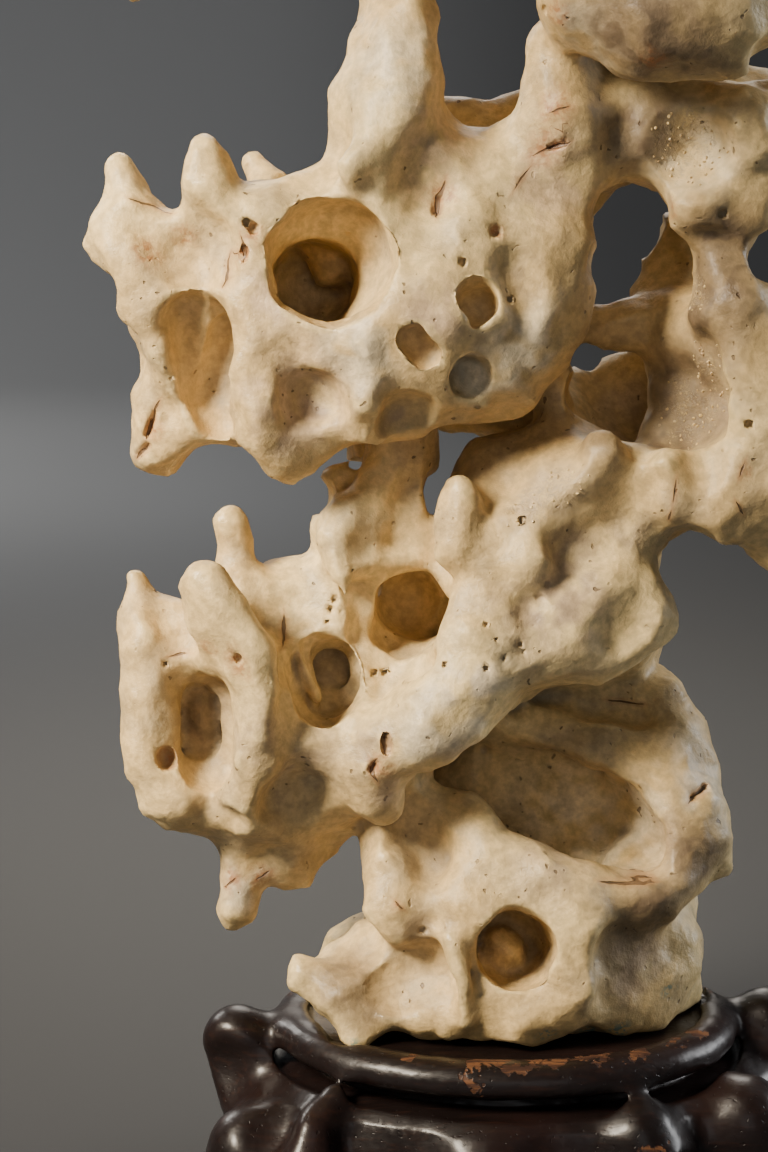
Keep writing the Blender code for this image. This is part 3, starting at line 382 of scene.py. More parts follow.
# %% Upper left lobe
def upper_left(stone):
    """The large lobe at the upper left, with the column that rises from it."""
    # rim of lumps, then the filling, then the back
    stone.add(8, (-111.5, 295.5, -12, 12), (-95.5, 289, -16, 17), (-71, 296.5, -18, 18.5),
        (-48.5, 298, -18, 18), (-21, 298, -18, 20), (8.5, 294, -14, 17))
    stone.add(8, (10, 292.5, -14, 16), (6, 269, -16, 14), (-3, 256.5, -18, 15.5),
        (-23.5, 254, -20, 16), (-47.5, 250.5, -20, 17.5), (-64, 240.5, -20, 15),
        (-80, 252.5, -14, 15.5))
    stone.add(8, (-101.5, 278, -10, 14), (-97.5, 263, -6, 13), (-102, 242, -8, 11),
        (-102.5, 234.5, -8, 10), (-87.5, 246.5, -10, 14))
    stone.add(10, (-68, 272, -16, 25), (-26.5, 275, -18, 30), (-3, 278, -14, 25))
    stone.add(10, (-97.5, 278, 16, 17), (-71, 272, 22, 27), (-26.5, 278, 24, 28),
        (3, 283.5, 18, 21))
    # horns
    stone.add(5, (-114, 315.5, -10, 5.5), (-111.5, 304, -14, 10))
    stone.add(4, (-123.5, 294.5, -14, 3.5), (-116, 297.5, -14, 8))
    stone.add(6, (-88, 320.5, -24, 6.5), (-89, 310.5, -26, 8.5), (-84.5, 297.5, -26, 11))
    stone.add(4, (-75.5, 317.5, 4, 4), (-71, 310, 0, 8))
    # column above
    stone.add(8, (-33.5, 381, -4, 13), (-33.5, 358.5, -8, 12.5), (-36.5, 336, -14, 17.5),
        (-32.5, 312.5, -14, 22))
    stone.cut(3, (-77.5, 340.5, -60, 17.5), (-78.5, 345.5, 70, 23))
    # saddle between the column and the boulder
    stone.add(8, (-26.5, 307, -10, 20), (-3.5, 310, -10, 18.5), (18.5, 321.5, -8, 16))
    stone.add(8, (-26.5, 318.5, 16, 15), (-3.5, 318.5, 18, 17), (20, 324.5, 18, 17))
    stone.cut(2.5, (-8, 350, -60, 19), (-9, 359, 70, 12.5))
    stone.cut(2.5, (-9.5, 381, -60, 15.5), (-9.5, 381, 70, 15))
    stone.cut(2.5, (-8, 350, -60, 20), (-9.5, 381, -60, 15.5), stretch=(1, 1.5, 1))
    stone.add(6, (-19, 330.5, 16, 6), (-7, 328, 18, 8), (8.5, 333, 12, 7))
    # broad dish under the column
    stone.cut(4.5, (-25.5, 327, -44, 12), (-24, 310, -41, 12.5), (-25.5, 300.5, -46, 10))
    stone.add(8, (-30.5, 358.5, -18, 9), (-29.5, 341.5, -25, 8.5), (-36.5, 328.5, -31, 8),
        (-46, 316, -37, 5.5))
    # left flank
    stone.add(7, (-113.5, 292, -22, 7), (-109.5, 278, -22, 7), (-104, 264.5, -22, 6),
        (-99, 255.5, -20, 5))
    stone.cut(4.5, (-96.5, 292.5, -39, 16))
    stone.cut(3, (-94.5, 267.5, -38, 14), (-95, 254, -37, 12.5))
    stone.cut(2, (-87.5, 269, -36, 10), (-89.5, 258.5, -35, 11.5), (-90.5, 250, -32, 10))
    stone.cut(2, (-85, 270.5, -27, 6), (-85.5, 259.5, -25, 7), (-88, 250.5, -23, 7))
    stone.cut(2, (-84, 268.5, -19, 4), (-85, 259.5, -17, 5), (-87, 253, -16, 4.5))
    # main window
    stone.cut(2, (-53, 289, -37, 18.5), (-52, 289.5, -30, 17.5))
    stone.cut(2, (-57.5, 282.5, -22, 13), (-58.5, 282, 6, 12))
    # upright ridges
    stone.add(7, (-77, 280, -30, 6), (-76, 263, -32, 6), (-75, 248, -34, 8.5), (-73.5, 239, -32, 8))
    stone.add(6, (-43, 264.5, -41, 4.5), (-42.5, 248, -39, 5.5), (-42.5, 237, -32, 5.5))
    stone.add(6, (-65, 231.5, -26, 9), (-61.5, 226.5, -22, 6))
    # dents
    stone.dent(2.5, (-59, 247, -40, 10), (-30, 242, -37, 8.5), (-12, 238, -35, 8.5))
    stone.cut(3, (-63, 263, -46, 6.5))
    stone.cut(2.5, (3.5, 287, -43, 9.5), (6, 275, -44, 8.5))
    stone.dent(2.5, (-3.5, 316, -46, 12.5), (-71, 303, -43, 6), (-103, 303, -34, 8))
    # small pits
    stone.cut(1.5, (-9, 278, -40, 4.5), (-10.5, 274.5, -39, 5))
    stone.cut(1.5, (-28.5, 267, -45, 4), (-25.5, 262.5, -44, 4))
    stone.cut(1.5, (-11, 254, -37, 5.5))
    stone.add(2, (-10, 255.5, -31, 2.7))
    stone.cut(1.0, (-4.5, 298, -44, 2.1), (-4.5, 298, -34, 1.8))
    # lower edge scallops
    stone.cut(2.5, (-85.5, 220.5, -60, 13), (-85.5, 220.5, 60, 15))
    stone.cut(2.5, (-46, 223, -60, 10), (-47.5, 224, 60, 12))
    stone.cut(2.5, (-20.5, 228, -60, 9.5), (-17.5, 227, 0, 9.5))
    # right edge
    stone.cut(2.5, (40.5, 278, -60, 15), (41.5, 283.5, -14, 15))
    # left edge notches
    stone.cut(2, (-122.5, 256.5, -60, 8.5), (-121, 256.5, 60, 9))
    stone.cut(2, (-121.5, 280.5, -60, 4), (-121.5, 280.5, 60, 4))

# %% [markdown]
# The upper right is a limb that hangs from a boulder, with two windows one above the other. The
# boulder stands well forward of the rest.

# %% Upper right limb and boulder
def upper_right(stone):
    """The limb, windows and hanging boulder at the upper right."""
    # recessed middle part
    stone.add(8, (25.5, 336, -2, 15.5), (45.5, 325.5, -8, 18.5), (68, 321, -8, 20),
        (84, 327, -4, 18))
    stone.add(8, (28.5, 336, 26, 14.5), (52, 330, 30, 20), (81, 324.5, 26, 18.5))
    # boulder hanging in front
    stone.add(6, (21.5, 365, -34, 15.5), (39.5, 361.5, -38, 21), (57.5, 362, -36, 22),
        (71, 372.5, -28, 21))
    stone.add(8, (25, 375.5, -10, 21), (54, 375.5, -6, 27), (82.5, 381, -6, 27))
    # root of the boulder towards the notch
    stone.add(7, (12.5, 350, -16, 9.5), (14.5, 330, -18, 14), (20, 315.5, -14, 10))
    # right limb
    stone.add(7, (55, 307, -20, 11), (68.5, 305.5, -16, 11.5))
    stone.add(7, (67, 327.5, -20, 12.5))
    stone.add(7, (62, 292.5, -16, 10), (66.5, 275, -18, 14.5), (74, 251, -16, 18.5),
        (76.5, 227, -16, 19))
    stone.add(8, (82.5, 278, -2, 13), (86, 254, 0, 18), (87, 224, 0, 18))
    stone.add(8, (61.5, 278, 20, 13), (68.5, 242, 24, 20), (54, 227, 22, 17))
    stone.add(4, (68.5, 296, 6, 5.5))
    # knob behind the window
    stone.add(6, (46, 292, 26, 11.5), (46.5, 280.5, 20, 11.5))
    # bridge between the windows, set back
    stone.add(6, (13.5, 270.5, 4, 8), (29.5, 269.5, 6, 7), (44, 270.5, 6, 10), (53, 269, 0, 12))
    # floor under the lower window, and the sugary wall beside it
    stone.add(7, (15.5, 223.5, -12, 13), (30, 221, -18, 14), (45, 220.5, -18, 13),
        (63, 218, -20, 14))
    stone.add(8, (18, 224, 18, 14), (39, 221, 20, 14.5), (63, 218, 16, 15))
    stone.add(7, (18.5, 236, -2, 8), (17, 248, 4, 9.5), (15, 263, 4, 9.5))
    stone.add(7, (54, 280.5, 15, 11.5), (54, 263, 9, 13), (53.5, 248, 7, 14), (51.5, 233, 2, 13))
    # windows
    stone.cut(2, (36, 303.5, -60, 12.5), (35, 300.5, -14, 11), (33.5, 299.5, 60, 8.5))
    stone.cut(2, (34.5, 292.5, -60, 9.5), (30.5, 287, 0, 8), (28.5, 286, 60, 7))
    stone.cut(3, (41.5, 289, -56, 10), (40.5, 283, -24, 10))
    stone.cut(3, (32.5, 276, -44, 8.5), (41, 276, -24, 8.5))
    stone.cut(2, (29, 249, -60, 14), (29, 248, 0, 12), (29, 249, 16, 11))
    stone.add(8, (27, 247.5, 42, 13), (41.5, 253, 42, 14))
    stone.cut(2, (22.5, 260, -20, 4), (22.5, 260, 60, 3.5))
    # sugary bowl
    stone.cut(2.5, (52.5, 258.5, -23, 9.5), (54.5, 246.5, -21, 12.5))
    stone.cut(4.5, (52, 321.5, -31, 12.5))
    stone.cut(1.5, (12, 362, -47, 2.1), (10.5, 359, -47, 1.8))
    # hollow beyond the limb, at the right
    stone.cut(2.5, (77.5, 290, -50, 7), (77.5, 290, 50, 7))
    stone.cut(2.5, (75.5, 345.5, -50, 7), (76.5, 345.5, -10, 6))
    # ridges of the lower edge
    stone.add(6, (28.5, 232, -28, 5), (24, 222.5, -28, 4.5))
    stone.add(6, (48.5, 228.5, -28, 6), (50, 216.5, -26, 6.5))
    stone.add(6, (68, 227, -28, 7), (62, 214.5, -26, 6.5))
    stone.add(7, (78.5, 218, -18, 12.5), (82.5, 203.5, -14, 10), (87.5, 191, -6, 7))
    stone.cut(3, (39, 224, -39, 8.5))
    stone.cut(4, (65.5, 262.5, -40, 8), (75.5, 261, -38, 7))
    stone.cut(3, (54.5, 199, -60, 10), (54.5, 198, 60, 10))
    stone.cut(2.5, (69.5, 189.5, -60, 11), (69.5, 189.5, 60, 11))

# %% [markdown]
# A thin column joins the upper and the lower lobes. It has a small eye through it and a sliver
# of light at its right.

# %% Column
def column(stone):
    """The thin column between the two left lobes."""
    stone.add(8, (-32, 236, 0, 11.5), (-31, 221, -4, 10), (-36, 206, -6, 12.5),
        (-39.5, 191, -6, 11))
    stone.add(8, (-47, 210.5, -4, 12), (-47.5, 200, -4, 11), (-45.5, 191, -8, 9))
    stone.add(6, (-48, 221, 2, 9.5), (-47.5, 206, 12, 10))
    stone.add(7, (-25, 206, -4, 8), (-18.5, 195.5, -10, 6.5), (-14, 191, -16, 6))
    stone.add(8, (-37, 233, 20, 12), (-34, 209, 26, 15.5), (-26.5, 191, 26, 17))
    stone.cut(4, (-29.5, 222, -17, 7), (-31, 205.5, -21, 7))
    stone.add(6, (-48.5, 212, -14, 7), (-48.5, 199.5, -15, 6.5), (-50.5, 192, -13, 3.5))
    stone.cut(2.5, (-46.5, 223.5, -12, 7.5))
    stone.cut(1.5, (-44.5, 228.5, -16, 1.5), (-44.5, 228.5, 40, 1.5), stretch=(2.6, 1, 1))
    stone.cut(2, (-58, 219.5, -50, 5), (-58, 219.5, 60, 5))
    stone.cut(2, (-23, 224, -50, 2.1), (-23.5, 218, -50, 2.4), (-21.5, 213.5, -50, 1.8))
    stone.cut(2, (-22.5, 224, 20, 2.1), (-22.5, 218, 20, 2.4), (-21, 213.5, 20, 1.8))
    stone.cut(2, (-23, 219.5, -50, 2.7), (-22.5, 219, 60, 2.7), stretch=(1, 1, 2.4))

# %% [markdown]
# The middle of the stone is knotted: a saddle with a sugary floor, a crooked ridge and a dark,
# pitted hollow. An arm runs from it down to the left.

# %% Centre and arm
def centre(stone):
    """The knotted middle."""
    stone.add(8, (-2.5, 224, 0, 15), (15, 227, 0, 16), (30, 221, -10, 14.5), (33.5, 206, -12, 12))
    stone.add(8, (-2.5, 209, -14, 16), (11, 200, -16, 17), (24.5, 200, -16, 15.5))
    stone.add(8, (3.5, 184.5, -20, 15.5), (25, 183, -20, 17), (37.5, 184, -18, 14.5),
        (28, 175.5, -22, 12))
    stone.add(8, (15, 230, 26, 18), (27.5, 209, 26, 18.5), (25, 181.5, 22, 18))
    stone.add(8, (10, 175.5, 10, 15), (34, 178.5, 10, 13))
    stone.add(8, (-14, 217, -24, 7.5), (-13.5, 205, -27, 8.5), (-6.5, 200, -26, 7))
    # ridges and hollows on its face
    stone.dent(5, (1.5, 229.5, -34, 17), (11.5, 219, -36, 8))
    stone.add(7, (27.5, 232.5, -24, 5), (22, 221, -26, 5), (16, 212, -25, 3.5))
    stone.cut(4, (-2.5, 189.5, -37, 6.5), (4.5, 187, -39, 6.5))
    stone.cut(7, (19, 202.5, -36, 10))
    stone.add(7, (13, 219, -20, 10), (6, 209.5, -27, 7.5), (7, 200.5, -33, 4.5),
        (6.5, 195.5, -32, 3.5))
    stone.cut(4, (-8, 215, -39, 6), (-7, 204, -40, 7))
    stone.add(5, (-14, 221, -28, 4), (-18, 212, -27, 3.5), (-16, 202.5, -28, 4.5),
        (-11.5, 198, -29, 4))
    stone.dent(8, (34, 211.5, -36, 10), (34.5, 175.5, -39, 10))
    stone.cut(8, (2.5, 172.5, -44, 10), (-2, 158, -47, 7))


def arm(stone):
    """The arm that runs down to the left across the front."""
    stone.add(7, (-6.5, 186.5, -28, 9.5), (-10, 175.5, -30, 12.5), (-12.5, 163, -32, 12.5),
        (-23.5, 150, -34, 14), (-35.5, 143, -30, 13))
    stone.add(8, (16, 176.5, -22, 14.5), (-2, 169.5, -26, 13), (-14, 157, -28, 14))
    stone.add(8, (4, 175.5, 0, 15), (-17, 160, -4, 15), (-32.5, 147.5, -4, 15))
    stone.add(6, (-41, 137.5, -26, 11), (-38.5, 126.5, -26, 8))
    stone.cut(3, (-25, 164.5, -52, 6.5))
    stone.cut(2, (-40, 140.5, -46, 2.4), (-38.5, 144, -46, 2.1))
    stone.cut(2.5, (-24, 130, -64, 6))
    stone.cut(2.5, (-29.5, 186, -40, 11), (-29, 186, 4, 10))
    stone.cut(2.5, (-33, 178.5, -34, 9), (-32, 179, -10, 9))
    stone.cut(2.5, (-44.5, 140.5, -43, 4))

# %% [markdown]
# The lower left lobe has fingers along its top, three eye-like holes in its face and drips below.

# %% Lower left lobe
def left_lobe(stone):
    """The lower left lobe with its fingers and drips."""
    # body
    stone.add(7, (-107, 174, -18, 10), (-108, 157, -20, 10), (-107, 136.5, -22, 10),
        (-101, 128, -22, 12))
    stone.add(7, (-88, 175.5, -20, 12), (-74, 160, -22, 14.5), (-74, 143, -24, 15),
        (-78, 125.5, -22, 12.5))
    stone.add(8, (-65.5, 186, -6, 12.5), (-50.5, 186, -6, 12), (-53.5, 166, -8, 18.5),
        (-53.5, 146, -18, 17), (-41.5, 141.5, -18, 15.5))
    stone.add(8, (-91.5, 160, 16, 18.5), (-91.5, 141.5, 16, 18.5), (-68.5, 163, 14, 23),
        (-41.5, 166, 14, 21))
    stone.add(8, (-93, 144.5, 30, 16), (-65.5, 157, 34, 20), (-41.5, 169.5, 30, 18))
    stone.add(7, (-41.5, 175.5, 2, 11), (-32.5, 167, -4, 13), (-23.5, 163, -16, 12))
    stone.add(8, (-93.5, 125.5, -14, 10), (-66, 125.5, -12, 14), (-50.5, 132, -14, 13))
    # spikes along its top
    stone.add(6, (-111.5, 194, -12, 3.5), (-110, 184, -14, 7), (-108, 172.5, -16, 10))
    stone.add(6, (-91.5, 192, -32, 7), (-89, 181.5, -32, 9), (-81, 171, -30, 10))
    stone.add(5, (-83, 210.5, -8, 5.5), (-81.5, 200, -8, 7), (-77.5, 188, -8, 10))
    stone.add(5, (-70, 195.5, 0, 5.5), (-58, 194.5, 2, 6.5))
    stone.add(8, (-107.5, 180, -8, 8), (-95.5, 175.5, -10, 11))
    # ridge beside the upright hollow
    stone.add(7, (-80.5, 168, -32, 6), (-77, 154, -32, 6.5), (-78, 138, -34, 6.5),
        (-79, 125.5, -32, 6))
    # hollows
    stone.cut(2.5, (-91, 157.5, -38, 8.5), (-91.5, 137, -38, 8.5))
    stone.cut(2, (-90, 156.5, -27, 8), (-90.5, 137.5, -27, 8))
    stone.cut(3, (-99, 155.5, -40, 11), (-98, 140.5, -40, 9.5))
    stone.cut(3, (-103.5, 186, -25, 6.5), (-98.5, 176, -29, 5.5))
    stone.cut(4, (-65, 188.5, -25, 10))
    stone.cut(1.2, (-103, 139, -36, 2.4), (-103, 138, -26, 2.1))
    stone.cut(2, (-55.5, 168, -26, 10.5), (-54.5, 160, -26, 10.5))
    stone.cut(2, (-53, 167, -16, 8), (-53, 160, -15, 8))
    stone.cut(2, (-53, 167, -4, 6), (-53, 164.5, 2, 5.5))
    stone.add(3, (-62, 172.5, -15, 3), (-60, 164.5, -13, 3.5), (-58.5, 156.5, -14, 2.7))
    stone.cut(1.2, (-67, 183, -32, 1.5), (-67, 176, -32, 1.5), (-67, 179, -18, 1.2))
    # scooped underside with its hanging drips
    stone.add(6, (-81, 114.5, -10, 9), (-80, 104, -10, 9), (-83, 92.5, -12, 7.5))
    stone.add(6, (-69, 113, -8, 12), (-63, 105, -6, 8.5), (-65.5, 101.5, -6, 6))
    stone.add(6, (-53.5, 122.5, -6, 10), (-58, 113, -4, 8))
    stone.cut(4, (-62, 124, -36, 11.5))
    stone.cut(3, (-85.5, 117.5, -36, 6))
    stone.cut(2.5, (-54, 91.5, -50, 8), (-48, 99, 0, 9), (-48, 99, 50, 9))
    stone.cut(2.5, (-98.5, 103, -50, 11), (-98.5, 103, 60, 11))

# %% [markdown]
# Above the foot lies a deep basin with a thin wall behind it and a fin at its right.

# %% Basin
def lower_right(stone):
    """The deep basin above the foot."""
    # back wall
    stone.add(8, (43.5, 154.5, 14, 13), (48, 143, 8, 15), (50.5, 125.5, 4, 15), (52, 111, 0, 14),
        (41, 100.5, -6, 13))
    stone.add(8, (28, 153, 20, 15.5), (7, 147.5, 22, 14), (28.5, 135, 26, 19))
    stone.add(8, (-8, 132, 20, 13), (10.5, 113, 26, 21), (35, 113, 24, 20), (16.5, 129, 34, 19))
    stone.add(8, (-23, 116, 14, 15), (-8, 103.5, 10, 18), (17, 94, 10, 20), (41.5, 94, 10, 15))
    # front rim of the basin
    stone.add(7, (-28, 120, -10, 12), (-13.5, 120.5, -12, 9), (-5.5, 108, -20, 10),
        (10.5, 100.5, -24, 11), (24.5, 89, -24, 11))
    stone.add(7, (-31, 110, -12, 12.5), (-25, 92.5, -18, 13), (-7.5, 92.5, -22, 14.5),
        (14, 84.5, -24, 15))
    stone.add(7, (29, 92.5, -20, 11.5), (44.5, 97, -18, 11), (53.5, 106, -12, 9.5),
        (56, 116, -10, 9))
    # fin to the right
    stone.add(6, (59, 125.5, -4, 7), (62.5, 113.5, -4, 7), (66, 105, -4, 5))
    # ledge
    stone.add(7, (-4.5, 149.5, 8, 6), (15, 148, 3, 6.5), (33, 140.5, -1, 9), (47.5, 129, -5, 10),
        (54.5, 113.5, -8, 9))
    # hollows
    stone.cut(2.5, (13, 124.5, -36, 16), (32.5, 114.5, -28, 13.5), (43, 110, -24, 9))
    stone.cut(2.5, (6.5, 130, -20, 12), (28.5, 122, -8, 12.5), (40.5, 112.5, -12, 8.5))
    stone.cut(2.5, (11.5, 157, -4, 5.5), (27, 157, 1, 6), (39, 153, -1, 5))
    stone.cut(3, (-30, 121, -27, 11), (-27.5, 110, -27, 11.5))
    stone.cut(2, (-7, 140.5, -60, 3.5), (-7.5, 142, 60, 3))
    stone.cut(2.5, (50, 79.5, -60, 6.5), (50, 79.5, -26, 6))
    # knob of the left rim
    stone.add(9, (-36, 103.5, -22, 7), (-35.5, 92.5, -26, 8.5), (-33, 88.5, -26, 7.5))

# %% [markdown]
# The foot ends in four toes. A round blind hole is bored into its front, and a thin fin stands
# beside the hole.

# %% Foot
def foot_core(stone):
    """The bulk of the foot."""
    stone.add(6, (-49, 65, -14, 9), (-32.5, 69, -12, 15.5), (-1.5, 75, -12, 23.5),
        (26.5, 75, -6, 23), (39, 73, 6, 18.5))
    stone.add(8, (-32.5, 66.5, 20, 15.5), (-1.5, 73, 24, 23.5), (29.5, 72, 22, 21.5))


def foot(stone):
    """The toes, the fin and the round hole of the foot."""
    # outline lumps
    stone.add(6, (-62, 71, -18, 6.5), (-52.5, 66.5, -18, 9))
    stone.add(7, (-51, 72, -8, 8), (-41, 78.5, -8, 10))
    stone.add(6, (-49.5, 60.5, -24, 8.5), (-47, 51, -28, 6))
    stone.add(7, (-32.5, 62, -22, 12), (-18.5, 58.5, -26, 9), (-16, 53.5, -30, 6.5))
    stone.add(8, (-1.5, 62, -24, 12.5), (8, 58, -30, 11), (23.5, 66.5, -26, 14))
    stone.add(7, (42, 68.5, -6, 15.5), (48, 78, -2, 14), (42, 62, -14, 11), (37.5, 59.5, -18, 8.5))
    stone.add(8, (23, 91, -24, 12.5), (25, 75, -28, 11))
    # shades between them
    stone.cut(2.5, (-33, 66.5, -35, 11), (-23, 71.5, -33, 8))
    stone.cut(3, (-24.5, 84.5, -38, 5.5))
    stone.cut(2, (-55, 58.5, -38, 3.5))
    stone.cut(2.5, (-33, 44.5, -60, 6), (-33, 44.5, 0, 6))
    stone.cut(2.5, (-3.5, 42.5, -60, 6), (-3.5, 42.5, -10, 6))
    stone.cut(2.5, (27.5, 44.5, -60, 6.5), (27.5, 44.5, -10, 6.5))
    stone.cut(6, (38.5, 77.5, -35, 9.5), (36.5, 62, -36, 7))
    stone.add(7, (50.5, 98.5, -16, 4), (46.5, 87.5, -18, 3), (44.5, 78, -14, 2.4))
    # round blind hole
    stone.cut(2, (3.5, 77.5, -46, 12), (3, 78.5, -26, 11.5), (1, 81, -14, 10))
    # fin
    stone.add(4, (-16.5, 83, -34, 4), (-13, 68.5, -38, 3), (-12, 55.5, -36, 3.5))
    stone.cut(1.0, (-45, 76, -36, 1.8), (-45, 76, -22, 1.5))

# %% [markdown]
# The head leans out to the left in a wing with a hanging tip, under a crest with two windows.

# %% Head
def head(stone):
    """The overhanging head with its arch."""
    # wing with a hanging tip, at the left
    stone.add(7, (-109.5, 367, -8, 3.5), (-104.5, 378.5, -8, 9), (-91, 393.5, -10, 14.5),
        (-67, 400.5, -10, 20), (-38.5, 406, -10, 23.5))
    stone.add(5, (-102.5, 367.5, -6, 2.7), (-100, 378.5, -6, 8))
    # middle
    stone.add(10, (-38.5, 406, -10, 23.5), (-10, 414.5, -10, 25), (19, 409, -14, 26.5),
        (50.5, 395, -16, 29), (79.5, 378.5, -10, 22))
    stone.add(12, (-75.5, 406, 24, 17), (-38.5, 414.5, 30, 23), (-4, 406, 34, 21),
        (36, 411.5, 26, 24), (65, 389.5, 26, 22))
    # crest of three lobes round the top window
    stone.add(9, (-64, 417, -4, 16), (-59.5, 437, -4, 17.5), (-47, 450, 0, 13))
    stone.add(9, (-38.5, 455.5, 4, 15), (-18.5, 463, 4, 18), (1, 458, 0, 15))
    stone.add(9, (12.5, 447.5, 0, 18), (31, 433.5, -2, 20), (38.5, 411.5, 0, 21))
    stone.add(9, (1.5, 433.5, 8, 17), (-41, 431, 14, 12))
    stone.add(6, (-27, 469, 4, 11.5), (-31.5, 477.5, 4, 5.5))
    stone.add(6, (-4.5, 466.5, 10, 11), (4, 473, 14, 5.5))
    stone.add(6, (-72, 431, -12, 11), (-80.5, 445, -14, 6), (-82, 449, -14, 4))
    stone.add(6, (35.5, 439, -10, 13), (47.5, 450.5, -14, 8), (52, 457, -14, 4.5))
    stone.add(7, (85, 386.5, -12, 14.5), (93.5, 398, -14, 9), (96, 405, -14, 5.5))
    stone.add(7, (-52.5, 444.5, 30, 12), (-58, 452.5, 40, 6.5))
    stone.add(8, (24, 436.5, 30, 13), (35.5, 446, 44, 6))
    # windows and hollows
    stone.cut(2.5, (-22, 438.5, -70, 11), (-22.5, 437.5, 0, 8.5), (-23.5, 437, 80, 10))
    stone.cut(2, (11.5, 432, -60, 6), (11.5, 431.5, 0, 4.5), (10.5, 431, 70, 6.5))
    stone.cut(3, (-12.5, 406, -40, 9.5))
    stone.cut(2, (-64, 403.5, -34, 8.5), (-63.5, 402.5, -14, 7.5))
    stone.cut(2, (-83.5, 395.5, -28, 5.5))
    stone.cut(3, (24.5, 417, -44, 11.5))
    stone.cut(2, (58, 398, -62, 9.5), (58.5, 396, -36, 8))
    stone.cut(2, (38.5, 393.5, -60, 4.5))
    stone.cut(2.5, (82.5, 381, -34, 8))
    stone.dent(2, (-55.5, 437, -24, 6), (-13, 462.5, -18, 6))
    stone.dent(3, (-32.5, 389.5, -50, 8), (31, 435.5, -26, 7))

# %% [markdown]
# The back has the same kinds of forms as the front, in broader strokes, and the underside has
# a trough under the toes.

# %% Back and underside
def back(stone):
    """Lumps and hollows of the back."""
    # lumps
    stone.add(10, (-91, 289.5, 34, 11), (-97, 298, 44, 7))
    stone.add(12, (-62, 254, 36, 14.5), (-69.5, 241, 38, 9.5))
    stone.add(12, (-11.5, 254, 30, 16), (6, 248, 34, 13))
    stone.add(10, (-38.5, 298, 44, 11.5), (-46.5, 308, 50, 8))
    stone.add(12, (25.5, 327.5, 34, 12.5), (10.5, 296.5, 40, 10))
    stone.add(10, (64, 315.5, 40, 12), (74.5, 310, 46, 8.5))
    stone.add(12, (83.5, 239, 22, 16), (81, 218, 20, 14))
    stone.add(10, (-77.5, 181.5, 34, 13), (-83.5, 189, 40, 8))
    stone.add(12, (-50.5, 132, 26, 15), (-59.5, 125.5, 28, 11))
    stone.add(10, (-102.5, 135, 20, 12.5), (-104, 129.5, 24, 9))
    stone.add(12, (27.5, 203, 44, 14.5), (36.5, 213.5, 44, 11))
    stone.add(12, (31, 169.5, 36, 15), (38.5, 175.5, 36, 9))
    stone.add(12, (-8, 157, 30, 17), (-20, 125.5, 34, 16), (-23, 100.5, 30, 14.5))
    stone.add(10, (48, 135, 26, 13), (49, 147.5, 34, 8.5))
    stone.add(12, (-44.5, 75, 24, 13), (-52, 63, 20, 9))
    stone.add(12, (41.5, 94, 30, 17.5), (48, 66.5, 16, 13))
    # hollows
    stone.cut(2.5, (-76.5, 272, 52, 11), (-70, 275.5, 36, 8.5))
    stone.cut(3, (-29.5, 279, 58, 14.5))
    stone.cut(2, (-3, 279, 44, 7), (1.5, 272.5, 30, 6))
    stone.cut(3, (-97.5, 254, 34, 8.5))
    stone.cut(2.5, (52, 331, 54, 11), (54.5, 333, 34, 8))
    stone.cut(2, (31.5, 333, 40, 5.5))
    stone.cut(3, (68.5, 242, 54, 12))
    stone.cut(2.5, (54, 224, 46, 7))
    stone.cut(4, (15, 227, 58, 12.5))
    stone.cut(2.5, (24.5, 188, 62, 9), (26.5, 186, 46, 7))
    stone.cut(4, (-65.5, 160, 60, 12.5))
    stone.cut(2, (-93, 150.5, 50, 9.5), (-91, 152, 34, 6.5))
    stone.cut(2.5, (-41.5, 160, 54, 10), (-42.5, 159, 38, 8))
    stone.cut(3, (16.5, 125.5, 70, 15))
    stone.cut(2.5, (41, 110, 54, 8))
    stone.cut(2.5, (-1.5, 78, 58, 13), (0.5, 80, 40, 11))
    stone.cut(2.5, (-32.5, 81, 46, 7))
    stone.dent(3, (-29.5, 209, 50, 9), (-4, 406, 66, 14))
    stone.cut(2.5, (-35.5, 417, 60, 9), (-34.5, 416, 46, 7))
    stone.cut(2.5, (39, 400.5, 64, 12.5), (39.5, 399.5, 42, 10))
    stone.dent(2, (66.5, 381, 50, 8), (-67, 406, 44, 8), (21.5, 422.5, 56, 6))
    stone.cut(2, (-62, 251, 56, 6), (-21, 307, 44, 5))
    stone.dent(3, (-11, 110, 62, 9), (14.5, 295.5, 58, 6))
    # small horns
    stone.add(6, (13, 398, 52, 8), (15, 391, 62, 3.5))
    stone.add(6, (-24, 403.5, 54, 8.5), (-25.5, 395.5, 62, 4))
    stone.add(6, (53, 414.5, 40, 9), (57.5, 422.5, 50, 4))
    stone.add(6, (-9, 269, 46, 7), (-10.5, 262.5, 56, 3.5))
    stone.add(6, (-53.5, 175.5, 46, 8), (-56, 181.5, 56, 3.5))
    stone.add(6, (10.5, 100.5, 52, 8.5), (13, 92, 60, 4))


def underside(stone):
    """A trough under the foot."""
    stone.cut(4, (-23, 36, 10, 10), (17.5, 36, 16, 10))

# %% [markdown]
# ## Fine shapes
#
# The fine skin has a few shapes that the plain solid leaves out: a pendant in front of the middle
# column, the rib of the lower left lobe, the true floors of four deep hollows, a loose flake that
# stands in one of them, the crisp rims of three dents on the upper left lobe, and a few small
# ridges and channels between them.

